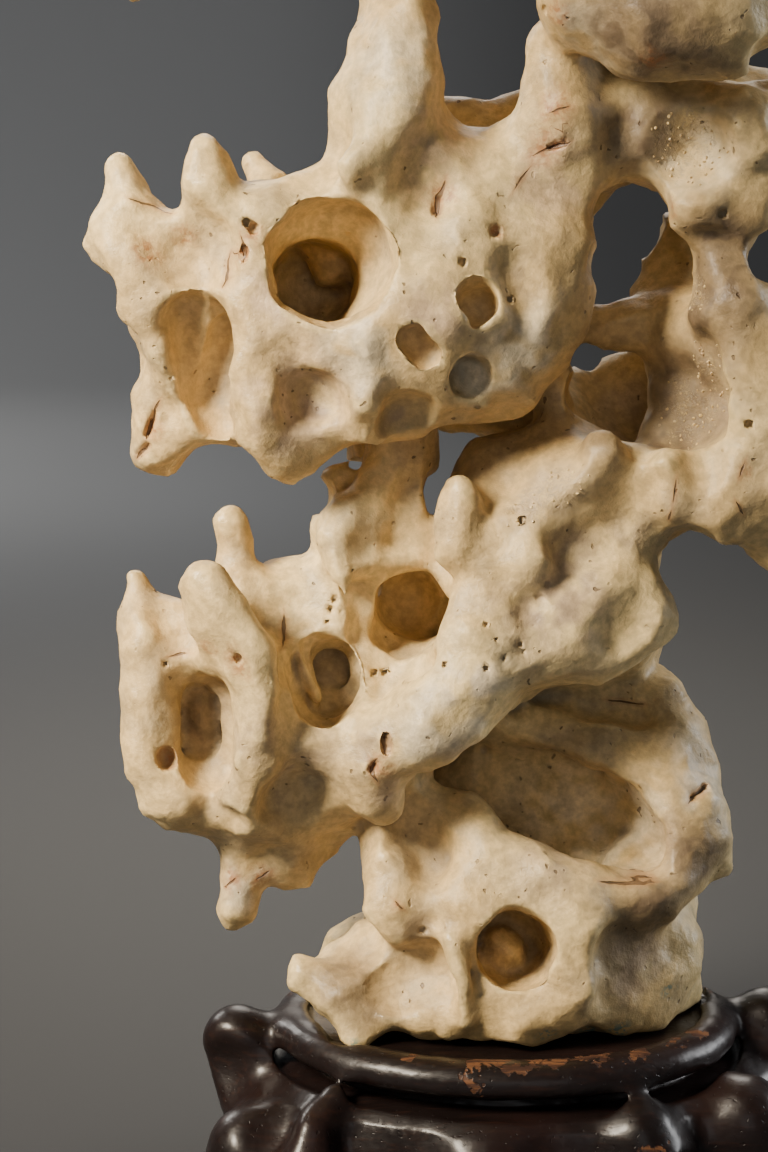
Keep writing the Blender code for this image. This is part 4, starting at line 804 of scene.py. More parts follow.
# %% Fine shapes
FINE_SHAPES = (  # add or cut, how softly, and the balls (across, up, deep, radius) of the chain
    # pendant, then the rib with the cut beside it
    ("add", 4.0, (-36, 231, -8, 6), (-43.5, 217, -11, 8), (-51.5, 206, -18.5, 7.5),
        (-50, 196, -23, 5), (-48.5, 189.5, -24.5, 2)),
    ("add", 4.0, (-91, 193, -36, 7), (-84, 184, -37.5, 7), (-76, 172, -38, 6.5),
        (-73, 160, -38, 5.5), (-75, 147, -39, 4.5)),
    ("cut", 2.0, (-67, 178, -32, 5), (-63, 166, -33, 5)),
    # floors of the long and the round hollow of the lower left lobe, and the flake in the second
    ("add", 3.0, (-92.5, 160, -8, 8.5), (-92.5, 141, -8, 8.5)),
    ("add", 2.0, (-53, 166, 3, 8.5)),
    ("add", 1.0, (-62.5, 171.5, -19.5, 1.8), (-60.5, 165, -18.5, 2.5), (-57.5, 157.5, -18, 1.8)),
    # channel down to the arm, and the ridges beside and above it
    ("cut", 3.0, (-44, 190, -20, 5), (-42, 178, -20, 6), (-34, 169, -25, 6), (-24, 167, -32, 5)),
    ("add", 2.5, (-14, 188, -30, 4), (-16, 178, -33, 4)),
    ("add", 2.0, (-46, 199, -19, 5), (-37, 199, -14, 5.5), (-28, 200, -12, 4)),
    # floors of the large window and of the foot's round hole
    ("add", 2.0, (-52, 288, 14, 8), (-56, 293, 13, 6)),
    ("add", 3.0, (-1.5, 77, -11, 8.5), (-6, 72, -14, 5)),
    # three dents, and the long dish of the upper left lobe
    ("cut", 0.8, (-9.5, 278, -41.5, 6.2), (-9.5, 275.5, -36, 6)),
    ("cut", 0.8, (-28.5, 266.5, -43.5, 4.3), (-25, 262.5, -42, 4.3)),
    ("cut", 0.8, (-11, 254.5, -40, 6.6)),
    ("cut", 3.0, (-95, 272, -28, 6.5), (-93, 262, -25, 7), (-90, 250, -22, 7), (-87, 243, -22, 6)),
)


def fine_shapes(stone):
    """Adds and cuts the listed chains of balls, each with its own blend."""
    for kind, blend, *balls in FINE_SHAPES:
        getattr(stone, kind)(blend, *balls)


print(len(FINE_SHAPES), "fine shapes")

# %% [markdown]
# ## Small pits and slits
#
# Where the rock was looser, water left pinholes and slits a millimetre or two wide. They are too
# small for the plain solid but they catch the eye, so the fine skin has them as real holes: each
# is a short chain that runs straight in from the surface.

# %% Pits and slits
PINHOLES = (
    (-52, 188, -18.5, 0.8), (-53.3, 185, -18.5, 0.7), (-50, 184, -19, 0.6),
    (-54, 181.5, -19.5, 0.7), (-40, 165.5, -21.5, 0.8), (-37, 166, -20.5, 0.6),
    (-42.5, 162.5, -22.5, 0.6), (-77.5, 300.5, -35, 1.1), (-75.5, 299, -36, 1.4),
    (-14, 289, -41, 1.0), (0, 278, -39.5, 0.9), (-9.5, 246, -31, 0.9), (8, 361, -40, 0.8),
    (45, 305, -22.5, 1.3), (62, 303, -29, 0.9), (71, 241, -33.5, 0.8), (-81.5, 169.5, -40.5, 1.0),
    (-19, 168, -41, 0.8), (-25, 84, -31.5, 1.1), (-7.5, 79.5, -9, 0.8), (2, 215, -31.5, 1.0),
    (3.5, 212.5, -33, 0.9), (-103, 168, -30, 0.8), (-6.5, 180.5, -39, 0.8), (-1, 170, -39, 0.8),
    (-3.5, 176, -39, 0.7), (3.5, 174.5, -38, 0.8), (-6.5, 167, -40, 0.7), (9.5, 188, -37, 0.8),
    (12, 192.5, -36, 0.7), (5, 171.5, -38, 0.7),
)
SLITS = (  # two ends of each, and its half width
    ((-105, 245, -18.5), (-107.5, 238, -17.5), 0.9),
    ((-107.5, 234.5, -16.5), (-110.5, 231.5, -14), 0.9),
    ((-78.5, 293, -37), (-79, 290.5, -36.5), 0.9),
    ((11, 322, -28.5), (15, 323.5, -30), 0.8),
    ((-21.5, 307.5, -34), (-22, 303.5, -35), 0.9),
    ((-37, 146, -43), (-36.5, 141, -43), 0.8),
    ((-39.5, 137.5, -41.5), (-41, 135, -41), 1.0),
    ((56, 125.5, -15), (60.5, 130, -11), 0.9),
)
PIT_DEPTH = 2.2
PIT_TAPER = 0.7  # radius of a pinhole's bottom, as a share of its mouth's
SLIT_DEPTH = 1.4
SLIT_TAPER = 0.6  # half width of a slit's start, as a share of its end's


def fine_pits(stone):
    """Cuts the pinholes and the slits, each from where its line of sight meets the skin."""
    for place in PINHOLES:
        across, up, deep, radius = stone.settled(place)
        bottom = (across, up, deep + PIT_DEPTH, PIT_TAPER * radius)
        stone.cut(0.6, (across, up, deep, radius), bottom)
    for start, end, radius in SLITS:
        start, end = stone.settled(start), stone.settled(end)
        for inward in (0.0, SLIT_DEPTH):
            stone.cut(1.2, (start[0], start[1], start[2] + inward, SLIT_TAPER * radius),
                (end[0], end[1], end[2] + inward, radius))


print(len(PINHOLES), "pinholes and", len(SLITS), "slits")

# %% [markdown]
# ## Putting the stone together
#
# The order matters, because a cut only reaches what was added before it. Low waves all over take
# away the last clean balls, and a flat cut under the toes lets the stone rest on its seat.

# %% Sculpt the stone
REGIONS = (head, upper_left, upper_right, foot_core, left_lobe, column, lower_right, centre, arm,
    foot, back, underside)
WAVE_HEIGHT = 0.96


def sculpt_stone(low, high, step):
    """The whole stone, cut off flat where its toes rest on the seat."""
    stone = Clay(low, high, step, sighted=True)
    for region in REGIONS:
        region(stone)
    stone.roughen(WAVE_HEIGHT)
    where, (_, _, z) = stone.everywhere()
    stone.depth[where] = np.maximum(stone.depth[where], SEAT_HEIGHT + SEAT_GAP - z)
    return stone


stone_clay = sculpt_stone(STONE_LOW, STONE_HIGH, STONE_STEP)
fine_shapes(stone_clay)
fine_pits(stone_clay)
filled = int((stone_clay.depth < 0).sum() * STONE_STEP**3 / 1000)
print("the stone fills", filled, "cubic centimetres")

# %% [markdown]
# ## From clay to a mesh
#
# OpenVDB, which comes with Blender, finds the surface where the distance is 0. The raw skin has
# equal faces everywhere, so a Decimate modifier thins it: broad lumps need few faces, while rims
# and pits keep many.

# %% Skin
def largest_skin(points, faces):
    """Keeps the one skin with the most points, so that no crumb or sealed bubble is left."""
    owner = np.arange(len(points))
    while True:
        lowest = owner[faces].min(1)
        new = owner.copy()
        for corner in range(3):
            np.minimum.at(new, faces[:, corner], lowest)
        new = new[new]
        if (new == owner).all():
            break
        owner = new
    names, sizes = np.unique(owner, return_counts=True)
    kept = owner == names[sizes.argmax()]
    number = np.cumsum(kept) - 1
    return points[kept], number[faces[kept[faces[:, 0]]]]


def skin(clay, name, faces_left):
    """A plain mesh object of the clay's surface, with about so many triangles."""
    limit = 3.0 * clay.step
    block = openvdb.FloatGrid(limit)
    block.copyFromArray(np.clip(clay.depth, -limit, limit))
    points, threes, fours = block.convertToPolygons(0.0, 0.0)
    faces = np.concatenate([threes, fours[:, [0, 1, 2]], fours[:, [0, 2, 3]]]).astype(int)
    points, faces = largest_skin(points, faces)
    points = (points * clay.step + clay.low) * MM
    corners = points[faces]
    if np.einsum("ij,ij->", corners[:, 0], np.cross(corners[:, 1], corners[:, 2])) < 0:
        faces = faces[:, ::-1]
    raw = bpy.data.meshes.new(name)
    raw.from_pydata(points.tolist(), [], faces.tolist())
    piece = bpy.data.objects.new(name, raw)
    bpy.context.scene.collection.objects.link(piece)
    thin = piece.modifiers.new("thin out", "DECIMATE")
    thin.ratio = min(1.0, faces_left / len(faces))
    return settle(piece)


def settle(piece):
    """Turns what an object's modifiers make into its plain mesh."""
    ready = piece.evaluated_get(bpy.context.evaluated_depsgraph_get())
    mesh = bpy.data.meshes.new_from_object(ready)
    piece.modifiers.clear()
    piece.data = mesh
    mesh.name = piece.name
    mesh.shade_smooth()
    return piece


stone = skin(stone_clay, "weathered_stone", STONE_FACES)
print(stone.name, "has", len(stone.data.polygons), "faces")

# %% [markdown]
# ## Where the stone is hollow, and where it stands out
#
# Age and light show by place: dust stays in the stand's nooks, the stone's hollows and nooks are
# painted honey brown, partly as a stain and partly as painted shade, its ridges are painted paler
# as a painted highlight, and hands polish what stands out. A place's share of solid stone all
# round it tells which it is, because a flat spot has half stone and half air, a hollow has more
# stone and a ridge has less. A running mean of the clay gives that share, over a few millimetres
# for nooks and ridges and over a wider ball for whole hollows. The results are kept as attributes
# of the mesh, one number at each point, for the finishes to read.

# %% Hollows and ridges
NOOK = (0.54, 0.22)  # share of stone nearby where a nook begins, and how much more is a full one
RIDGE = (0.47, 0.20)  # share where a ridge begins, and how much less is a sharp one
HOLLOW = (0.45, 0.40)  # share of stone farther round, as for a nook


def evened(block, reach):
    """Running mean over so many grid points to each side, twice along each axis."""
    for axis in (0, 0, 1, 1, 2, 2):
        block = np.moveaxis(block, axis, 0)
        before, after = block[:1].repeat(reach + 1, 0), block[-1:].repeat(reach, 0)
        padded = np.concatenate([before, block, after])
        total = np.cumsum(padded, 0, dtype=np.float32)
        block = (total[2 * reach + 1:] - total[:-2 * reach - 1]) / (2 * reach + 1)
        block = np.moveaxis(block, 0, axis)
    return block


def read(block, clay, spacing, points):
    """The block's value at each point, blended from the eight grid points round it."""
    at = (points - clay.low) / spacing
    first = np.clip(np.floor(at).astype(int), 0, np.array(block.shape) - 2)
    part = at - first
    value = 0.0
    for corner in np.ndindex(2, 2, 2):
        weight = np.prod(np.where(corner, part, 1.0 - part), axis=1)
        x, y, z = (first + corner).T
        value = value + weight * block[x, y, z]
    return value


def points_of(piece):
    """The mesh's points in millimetres, as rows."""
    flat = np.empty(3 * len(piece.data.vertices), np.float32)
    piece.data.vertices.foreach_get("co", flat)
    return flat.reshape(-1, 3) / MM


def keep(piece, name, values):
    """Stores one number for each point of the mesh."""
    layer = piece.data.attributes.new(name, "FLOAT", "POINT")
    layer.data.foreach_set("value", np.asarray(values, np.float32))


def keep_hollows(piece, clay, narrow, wide):
    """Stores nook, ridge and hollow, each from 0 to 1, found over a narrow and a wide reach."""
    points = points_of(piece)
    solid = clay.solidity()
    near = read(evened(solid, round(narrow / clay.step)), clay, clay.step, points)
    coarse = evened(solid[::2, ::2, ::2], round(wide / clay.step / 2))
    far = read(coarse, clay, 2 * clay.step, points)
    keep(piece, "nook", np.clip((near - NOOK[0]) / NOOK[1], 0.0, 1.0))
    keep(piece, "ridge", np.clip((RIDGE[0] - near) / RIDGE[1], 0.0, 1.0))
    keep(piece, "hollow", np.clip((far - HOLLOW[0]) / HOLLOW[1], 0.0, 1.0))
    return near, far


near, far = keep_hollows(stone, stone_clay, narrow=2.5, wide=9.0)
print("share of stone nearby:", np.round(np.percentile(near, (5, 50, 95)), 2))
print("share of stone farther round:", np.round(np.percentile(far, (5, 50, 95)), 2))

# %% [markdown]
# ## Stains and cracks
#
# Iron in the water left rusty marks, and parts of the stone are rosy, grey, chalky or honey
# brown. Each kind of stain is a list of round places. Three of the lists also hold painted light
# and shade: the dark umber places are painted shade on the boulder, the limb and other places that
# the light misses, the grey smoke places darken dents partly as painted shade, and some chalky
# places brighten shaded hollows as painted light. Their edges are torn later, by the noise in the
# finish, so that no circle is left. A crack is a line: each point of the mesh near it keeps how
# far it is to one side of the line, and the finish draws the crack where that is 0.

# %% Stains
STAINS_AND_PAINTED_LIGHT = {
    "rust": ((-106, 292.5, -28, 4), (-95, 296.5, -32, 2.7), (-76, 297.5, -36, 3),
        (-78.5, 292, -37, 2.4), (-4.5, 298, -32.5, 2.7), (-20, 307.5, -34.5, 4),
        (13, 333.5, -31.5, 5), (12, 322, -29, 5), (12, 360, -45, 4), (41.5, 347, -53, 3.5),
        (-106, 240, -18, 3), (-101.5, 139, -25, 2.7), (-84.5, 99.5, -18, 3.5),
        (-74.5, 101.5, -17.5, 3.5), (-39, 137.5, -41.5, 4), (47, 304.5, -26, 2.4),
        (-82, 168.5, -40.5, 3.5), (-33, 92.5, -34, 1.8), (-91, 172, -38, 2.4),
        (70.5, 227, -35.5, 1.8)),
    "rose": ((-65, 252.5, -36, 13.5), (-57.5, 243.5, -35.5, 8.5), (-22.5, 324.5, -30.5, 12.5),
        (14, 311.5, -25.5, 12), (-24, 272, -45.5, 9), (-75.5, 248, -42, 9), (-34, 129, -36, 7.5),
        (15.5, 184.5, -36.5, 13.5), (56, 135, -10, 7.5), (-75, 278, -39.5, 7.5),
        (41, 355.5, -57.5, 12), (41.5, 73, -24, 9), (-14, 160, -45, 9)),
    # partly a grey-brown stain and partly painted shade in the dents
    "smoke_and_shade": ((20, 200, -27.5, 8), (-2.5, 188, -36.5, 6), (-31, 243.5, -36, 5),
        (12.5, 184.5, -36.5, 8), (-26, 85, -32, 7), (3, 286.5, -36.5, 5.5), (-17, 140, -43.5, 6),
        (-44.5, 144.5, -38.5, 6.5), (38, 210, -30, 6), (-59, 245, -37, 6.5), (-68, 236, -36, 4)),
    # partly chalky patches and partly painted light in shaded hollows, such as the basin
    "chalk_and_light": ((57.5, 136.5, -8, 9.5), (-14, 157, -45, 13.5), (-26.5, 144.5, -46.5, 9),
        (22.5, 353, -46.5, 12), (-32.5, 347, -32, 12), (55, 318.5, -24.5, 12), (3, 263, -36.5, 12),
        (-47, 263, -43.5, 10.5), (56, 125.5, -15, 3.5), (30, 116, 2, 15), (40, 124, 4, 11),
        (-52, 167, -20, 8), (-11, 254.5, -38, 8), (-62, 262, -20, 9), (-79, 97, -18, 8)),
    "honey": ((45.5, 110, -18.5, 10), (15.5, 221, -26, 8.5), (6.5, 216.5, -28, 6.5),
        (53.5, 251, -11, 13.5), (33, 248, 31, 9), (-78, 147.5, -40, 9), (-62.5, 138, -33, 9),
        (-90, 150.5, -4, 9), (16.5, 106.5, -27, 12)),
    "sugar": ((15.5, 221, -26, 8.5), (6.5, 216.5, -28, 7), (56.5, 252.5, -22.5, 12.5),
        (53, 278, -20, 8), (53.5, 320, -24.5, 11.5), (50.5, 242, -11, 9), (-90, 160, -2.5, 6.5)),
    # painted shade: dark brown on the boulder, the limb and other places that the light misses
    "painted_shade": ((37, 355.5, -56.5, 20), (51.5, 347, -52, 13), (40, 330, -24, 12),
        (61.5, 283.5, -28, 13), (64.5, 295.5, -25.5, 11), (53.5, 248, -8, 13), (45, 236, -8.5, 10),
        (27, 239, -25.5, 8), (56, 269, -23.5, 10), (28, 262, -10, 12), (46, 88, -20, 12),
        (60, 108, -14, 9), (-16, 100, -14, 8), (-47.5, 65, -30, 12), (-91, 151, -15, 11)),
    "putty": ((51.5, 64.5, -22, 1.6), (-46.5, 47, -31, 2), (27.5, 52, -24, 3), (36.5, 52.5, -22, 3),
        (13, 49, -34, 2)),
}


STAIN_REACH = 1.6  # a stain fades out at so many radii; it is full up to one radius less
STAIN_DRIFT = 0.25  # how far its edge wanders, as a share of the radius
DRIFT_SIZE = 5.3


def keep_stains(piece, clay, stains):
    """Stores for each kind of stain, painted light and shade included, how much of it each point
    has, from 0 to 1.
    """
    points = points_of(piece)
    drift = np.stack([np.sin(points[:, (i + 1) % 3] / DRIFT_SIZE + i) for i in range(3)], 1)
    for name, places in stains.items():
        share = np.zeros(len(points))
        for place in places:
            x, y, z, radius = clay.placed(clay.settled(place) if clay.sighted else place)
            gap = np.linalg.norm(points + STAIN_DRIFT * radius * drift - (x, y, z), axis=1)
            share = np.maximum(share, np.clip(STAIN_REACH - gap / radius, 0.0, 1.0))
        keep(piece, name, share)


keep_stains(stone, stone_clay, STAINS_AND_PAINTED_LIGHT)
print({name: len(places) for name, places in STAINS_AND_PAINTED_LIGHT.items()})

# %% Cracks
CRACKS = (  # points (across, up, deep) along each crack, and its half width in the middle
    (0.35, (-103.5, 248, -18.5), (-105, 245, -18.5)),
    (0.5, (-105, 244, -18.5), (-106.5, 240.5, -18), (-108, 236.5, -17)),
    (0.5, (-107.5, 234.5, -16.5), (-111, 231, -14)),
    (0.5, (-79.5, 297, -36.5), (-78.5, 293, -37), (-79, 289.5, -36.5)),
    (0.2, (-82.5, 291.5, -34.5), (-85.5, 281.5, -33)),
    (0.28, (5.5, 316.5, -27), (0.5, 309.5, -29)),
    (0.4, (6, 320, -26.5), (11, 322, -28.5), (17, 323.5, -30.5)),
    (0.25, (10, 332, -31), (17, 334.5, -31.5)),
    (0.5, (-19.5, 313, -33.5), (-21.5, 307.5, -34), (-22, 302.5, -35)),
    (0.25, (50, 225, -33), (49, 217.5, -34)),
    (0.35, (48.5, 215, -33.5), (48, 211.5, -32.5)),
    (0.3, (70.5, 230, -34.5), (69, 225, -35.5)),
    (0.35, (68, 217.5, -35), (70, 214, -33.5)),
    (0.5, (-67.5, 184, -17.5), (-67.5, 174.5, -19.5)),
    (0.4, (-37.5, 147, -43), (-36.5, 140.5, -43)),
    (0.45, (-39.5, 138.5, -41.5), (-41, 135, -41), (-39, 130.5, -39.5)),
    (0.3, (-102, 170.5, -26.5), (-97, 172, -27.5)),
    (0.25, (29, 100.5, -30), (36.5, 100, -26.5), (45.5, 101, -26.5)),
    (0.4, (-85.5, 98.5, -18), (-82.5, 101, -18.5)),
    (0.4, (-76.5, 100, -18), (-72, 103, -17)),
    (0.25, (-112, 308, -23.5), (-105.5, 306.5, -21.5), (-100, 304, -21)),
    (0.2, (30, 157, 4), (41.5, 155.5, 1.5)),
    (0.4, (55.5, 125, -15), (61, 130.5, -11)),
    (0.35, (-34, 94, -33.5), (-31, 91, -34)),
    (0.3, (-92, 305, 30), (-84, 296, 34), (-82, 286, 36)),
    (0.3, (20, 186, 48), (26, 178, 50), (24, 168, 46)),
)
CRACK_REACH = 5.0  # how far from its line a crack is known
CRACK_DEPTH = 14.0  # how far in front of or behind its line
CRACK_SWELL, CRACK_PINCH = 1.2, 1.1  # shares of its half width: in the middle, and lost at the ends
CRACK_END = 0.5  # how fast it closes beyond its line


def keep_cracks(piece, clay, cracks):
    """Stores the distance across the nearest crack, and that crack's half width at this place."""
    points = points_of(piece)
    across = np.full(len(points), CRACK_REACH)
    width = np.full(len(points), -CRACK_REACH)
    nearest = np.full(len(points), CRACK_REACH)
    for half_width, *line in cracks:
        line = np.array([clay.placed((*clay.settled(place), 0.0))[:3] for place in line])
        length = np.linalg.norm(np.diff(line, axis=0), axis=1)
        done = 0.0
        for start, end, run in zip(line, line[1:], length):
            way = (end - start)[[0, 2]]
            reach = np.linalg.norm(way)
            way = way / reach
            offset = (points - start)[:, [0, 2]]
            along = offset @ way
            side = offset @ np.array([-way[1], way[0]])
            beyond = np.maximum(np.maximum(-along, along - reach), 0.0)
            far_off = np.hypot(side, beyond)
            behind = np.abs(points[:, 1] - (start[1] + end[1]) / 2)
            closer = (far_off < nearest) & (behind < CRACK_DEPTH)
            share = (done + np.clip(along, 0.0, run)) / length.sum()
            swell = CRACK_SWELL - CRACK_PINCH * np.abs(2.0 * share - 1.0)
            taper = half_width * swell - CRACK_END * beyond
            across[closer] = side[closer]
            width[closer] = taper[closer]
            nearest[closer] = far_off[closer]
            done += run
    keep(piece, "crack_across", across)
    keep(piece, "crack_width", width)
    return int((nearest < 1.0).sum())


print(len(CRACKS), "cracks pass within 1 mm of", keep_cracks(stone, stone_clay, CRACKS), "points")

# %% [markdown]
# ## A helper for node trees
#
# Geometry and shader trees are both nodes and links. This helper adds a node, fills or links its
# inputs, and hands back the output, so that a tree reads like a formula.

# %% Wiring
NODE_ROW = 12  # nodes side by side in the editor, before the next row starts


class Wiring:
    """Adds nodes to a tree; an input is a plain value or another node's output."""

    def __init__(self, tree):
        self.tree = tree

    def add(self, kind, inputs=(), out=0, **settings):
        """A node with its settings made and its inputs filled; hands back one output."""
        row, column = divmod(len(self.tree.nodes) + 1, NODE_ROW)
        node = self.tree.nodes.new(kind)
        node.location = (220.0 * column, -180.0 * row)
        for setting, value in settings.items():
            setattr(node, setting, value)
        for socket, value in dict(inputs).items():
            self.fill(node.inputs[socket], value)
        return node.outputs[out] if len(node.outputs) else node

    def fill(self, socket, value):
        """Links an output to the input, or sets the plain value."""
        if isinstance(value, bpy.types.NodeSocket):
            self.tree.links.new(value, socket)
        elif socket.type == "RGBA" and len(value) == 3:
            socket.default_value = (*value, 1.0)
        else:
            socket.default_value = value

    def math(self, operation, *values, clamp=False):
        """One step of arithmetic on numbers."""
        return self.add("ShaderNodeMath", enumerate(values), operation=operation, use_clamp=clamp)

    def vector(self, operation, *values, out=0):
        """One step of arithmetic on vectors."""
        return self.add("ShaderNodeVectorMath", enumerate(values), operation=operation, out=out)

    def ramp(self, value, low, high, start=0.0, end=1.0):
        """Runs softly from start to end while the value goes from low to high."""
        inputs = {"Value": value, "From Min": low, "From Max": high, "To Min": start, "To Max": end}
        return self.add("ShaderNodeMapRange", inputs, interpolation_type="SMOOTHSTEP")

    def blend(self, share, first, second, kind="MIX"):
        """One colour run into another."""
        node = self.tree.nodes.new("ShaderNodeMix")
        node.data_type = "RGBA"
        node.blend_type = kind
        self.fill(node.inputs[0], share)
        self.fill(node.inputs[6], first)
        self.fill(node.inputs[7], second)
        return node.outputs[2]

    def noise(self, where, size, detail=1.0, roughness=0.55):
        """Cloudy noise from 0 to 1 with lumps of about this size, in metres."""
        inputs = {"Vector": where, "Scale": 1.0 / size, "Detail": detail, "Roughness": roughness}
        return self.add("ShaderNodeTexNoise", inputs)


def new_tree(name, kind, inputs, outputs):
    """An empty node group with named sockets; each input is a name, a socket type and a value."""
    tree = bpy.data.node_groups.new(name, kind)
    for title, socket, value in inputs:
        made = tree.interface.new_socket(title, in_out="INPUT", socket_type=socket)
        if value is not None:
            made.default_value = value
    for title, socket in outputs:
        tree.interface.new_socket(title, in_out="OUTPUT", socket_type=socket)
    given = tree.nodes.new("NodeGroupInput").outputs
    result = tree.nodes.new("NodeGroupOutput").inputs
    return Wiring(tree), given, result


print("wiring ready")

# %% [markdown]
# ## Weathering the skin
#
# Sculpted clay is too smooth for stone. Geometry Nodes move each point of the skin along its
# normal: by broad waves, by scallops, by small dents, and in the sugary places by grains.
# Scallops are the shallow bowls that running water leaves, with a crisp edge where two meet: each
# cell of a bent pattern is one, deepest in its middle. It could be done with a Displace modifier
# for each, but one tree keeps the sizes together and may read the stains. The modifier is
# settled into a plain mesh at the end.

# %% The weathering tree
NUMBER = "NodeSocketFloat"
SHAPE = "NodeSocketGeometry"
SCALLOP_BEND = 1.6  # how far the pattern of scallops is bent, in scallops
BOWL_RISE = 2.2  # how steeply a scallop rises from its middle to its rim
SMALL_SIZE, SMALL_DEPTH = 0.42, 0.35  # the small scallops between them, as shares of the broad ones


def weathering_tree():
    """Moves each point of the skin along its normal, for waves, dents, scallops and grains."""
    inputs = [("Skin", SHAPE, None), ("Wave size", NUMBER, 0.009), ("Wave depth", NUMBER, 0.0004),
        ("Dent size", NUMBER, 0.004), ("Dent depth", NUMBER, 0.0002),
        ("Grain size", NUMBER, 0.0026), ("Grain depth", NUMBER, 0.0003),
        ("Scallop size", NUMBER, 0.016), ("Scallop depth", NUMBER, 0.0), ("Seed", NUMBER, 0.0)]
    do, given, result = new_tree("weathering", "GeometryNodeTree", inputs, [("Skin", SHAPE)])
    place = do.add("GeometryNodeInputPosition")
    seed = given["Seed"]

    def relief(size, depth, detail, shift):
        """Soft noise that goes in as far as it goes out."""
        inputs = {"Vector": place, "W": do.math("ADD", seed, shift), "Detail": detail,
            "Scale": do.math("DIVIDE", 1.0, size)}
        lump = do.add("ShaderNodeTexNoise", inputs, noise_dimensions="4D")
        return do.math("MULTIPLY", do.math("MULTIPLY_ADD", lump, 2.0, -1.0), depth)

    def scallops(size, depth, shift):
        """Shallow bowls side by side with bent rims."""
        inputs = {"Vector": place, "W": do.math("ADD", seed, shift),
            "Scale": do.math("DIVIDE", 0.8, size), "Detail": 1.0}
        bend = do.add("ShaderNodeTexNoise", inputs, out="Color", noise_dimensions="4D")
        aside = do.vector("SCALE", do.vector("SUBTRACT", bend, (0.5, 0.5, 0.5)))
        do.fill(aside.node.inputs["Scale"], do.math("MULTIPLY", size, SCALLOP_BEND))
        cell = do.add("ShaderNodeTexVoronoi", {"Vector": do.vector("ADD", place, aside),
            "Scale": do.math("DIVIDE", 1.0, size)})
        bowl = do.math("MULTIPLY", do.math("MULTIPLY", cell, cell), BOWL_RISE)
        bowl = do.math("SUBTRACT", bowl, 1.0)
        return do.math("MULTIPLY", do.math("MINIMUM", bowl, 0.0), depth)

    waves = relief(given["Wave size"], given["Wave depth"], 2.0, 0.0)
    dents = relief(given["Dent size"], given["Dent depth"], 1.0, 7.0)
    broad = scallops(given["Scallop size"], given["Scallop depth"], 13.0)
    small = scallops(do.math("MULTIPLY", given["Scallop size"], SMALL_SIZE),
        do.math("MULTIPLY", given["Scallop depth"], SMALL_DEPTH), 17.0)
    inputs = {"Vector": place, "Scale": do.math("DIVIDE", 1.0, given["Grain size"])}
    cell = do.add("ShaderNodeTexVoronoi", inputs)
    sugar = do.add("GeometryNodeInputNamedAttribute", {"Name": "sugar"})
    grain = do.math("MULTIPLY", given["Grain depth"], sugar)
    grain = do.math("MULTIPLY", do.math("SUBTRACT", 0.5, cell), grain)
    lift = do.math("ADD", do.math("ADD", waves, dents), grain)
    lift = do.math("ADD", lift, do.math("ADD", broad, small))
    push = do.vector("SCALE", do.add("GeometryNodeInputNormal"), (0.0, 0.0, 0.0))
    do.fill(push.node.inputs["Scale"], lift)
    moved = do.add("GeometryNodeSetPosition", {"Geometry": given["Skin"], "Offset": push})
    do.fill(result["Skin"], moved)
    return do.tree


def run_tree(piece, tree, **values):
    """Adds the tree as a modifier with these named inputs, and settles the piece."""
    modifier = piece.modifiers.new(tree.name, "NODES")
    modifier.node_group = tree
    sockets = {item.name: item.identifier for item in tree.interface.items_tree
        if item.in_out == "INPUT"}
    for title, value in values.items():
        modifier[sockets[title.replace("_", " ")]] = value
    return settle(piece)


weathering = weathering_tree()
before = points_of(stone)
run_tree(stone, weathering, Wave_size=0.011, Wave_depth=0.0006, Dent_size=0.0042,
    Dent_depth=0.00025, Scallop_size=0.017, Scallop_depth=0.0014, Seed=3.0)
moved = np.abs(points_of(stone) - before).max()
print("points moved by up to", round(float(moved), 2), "mm along an axis")

# %% [markdown]
# ## Carving the stand
#
# The stand is carved from one block of dark wood: an oval body with bosses and hollows like a
# small cliff, a round rim that holds the stone's foot, a groove under the rim, and seven low
# feet. It is sculpted as the stone is, in plain upright coordinates. The seat is then cut to fit
# the stone, a little wider than the stone all round.

# %% Oval shapes
def oval(x, y, half_width, half_depth):
    """How far a point is outside an oval, near enough close to its edge."""
    ratio = np.sqrt((x / half_width) ** 2 + (y / half_depth) ** 2) + 1e-6
    slope = np.sqrt((x / half_width**2) ** 2 + (y / half_depth**2) ** 2) + 1e-6
    return (ratio - 1.0) * ratio / slope


def rim_oval(x, y, wider):
    """How far a point is outside an oval so much wider than the rim's middle line."""
    return oval(x, y, RIM_HALF_WIDTH + wider, RIM_HALF_DEPTH + wider)


def body_edge(angle):
    """The place on the body's widest oval at an angle, in radians."""
    return BODY_HALF_WIDTH * math.cos(angle), BODY_HALF_DEPTH * math.sin(angle)


def turned_body(stand):
    """Oval body with a shoulder, the groove of the neck, the seat above it and the round rim."""
    where, (x, y, z) = stand.everywhere()
    heights = (0.0, 6.0, 20.0, 34.0, 42.0, SHOULDER_HEIGHT)
    widths = BODY_HALF_WIDTH + np.array((-3.0, 0.0, 0.0, -2.0, -6.0, -14.0))
    depths = BODY_HALF_DEPTH + np.array((-2.0, 0.0, 0.0, -2.0, -4.0, -10.0))
    side = oval(x, y, np.interp(z, heights, widths), np.interp(z, heights, depths))
    stand.join(where, np.maximum(side, z - SHOULDER_HEIGHT), blend=4.0)
    neck = np.maximum(rim_oval(x, y, -SEAT_INSET), np.maximum(z - SEAT_HEIGHT, NECK_BOTTOM - z))
    stand.join(where, neck, blend=2.0)
    lift = RIM_SQUASH * (z - SEAT_HEIGHT + RIM_DROP)
    rim = np.sqrt(rim_oval(x, y, 0.0) ** 2 + lift**2) - RIM_THICKNESS / 2
    stand.join(where, rim, blend=1.5)

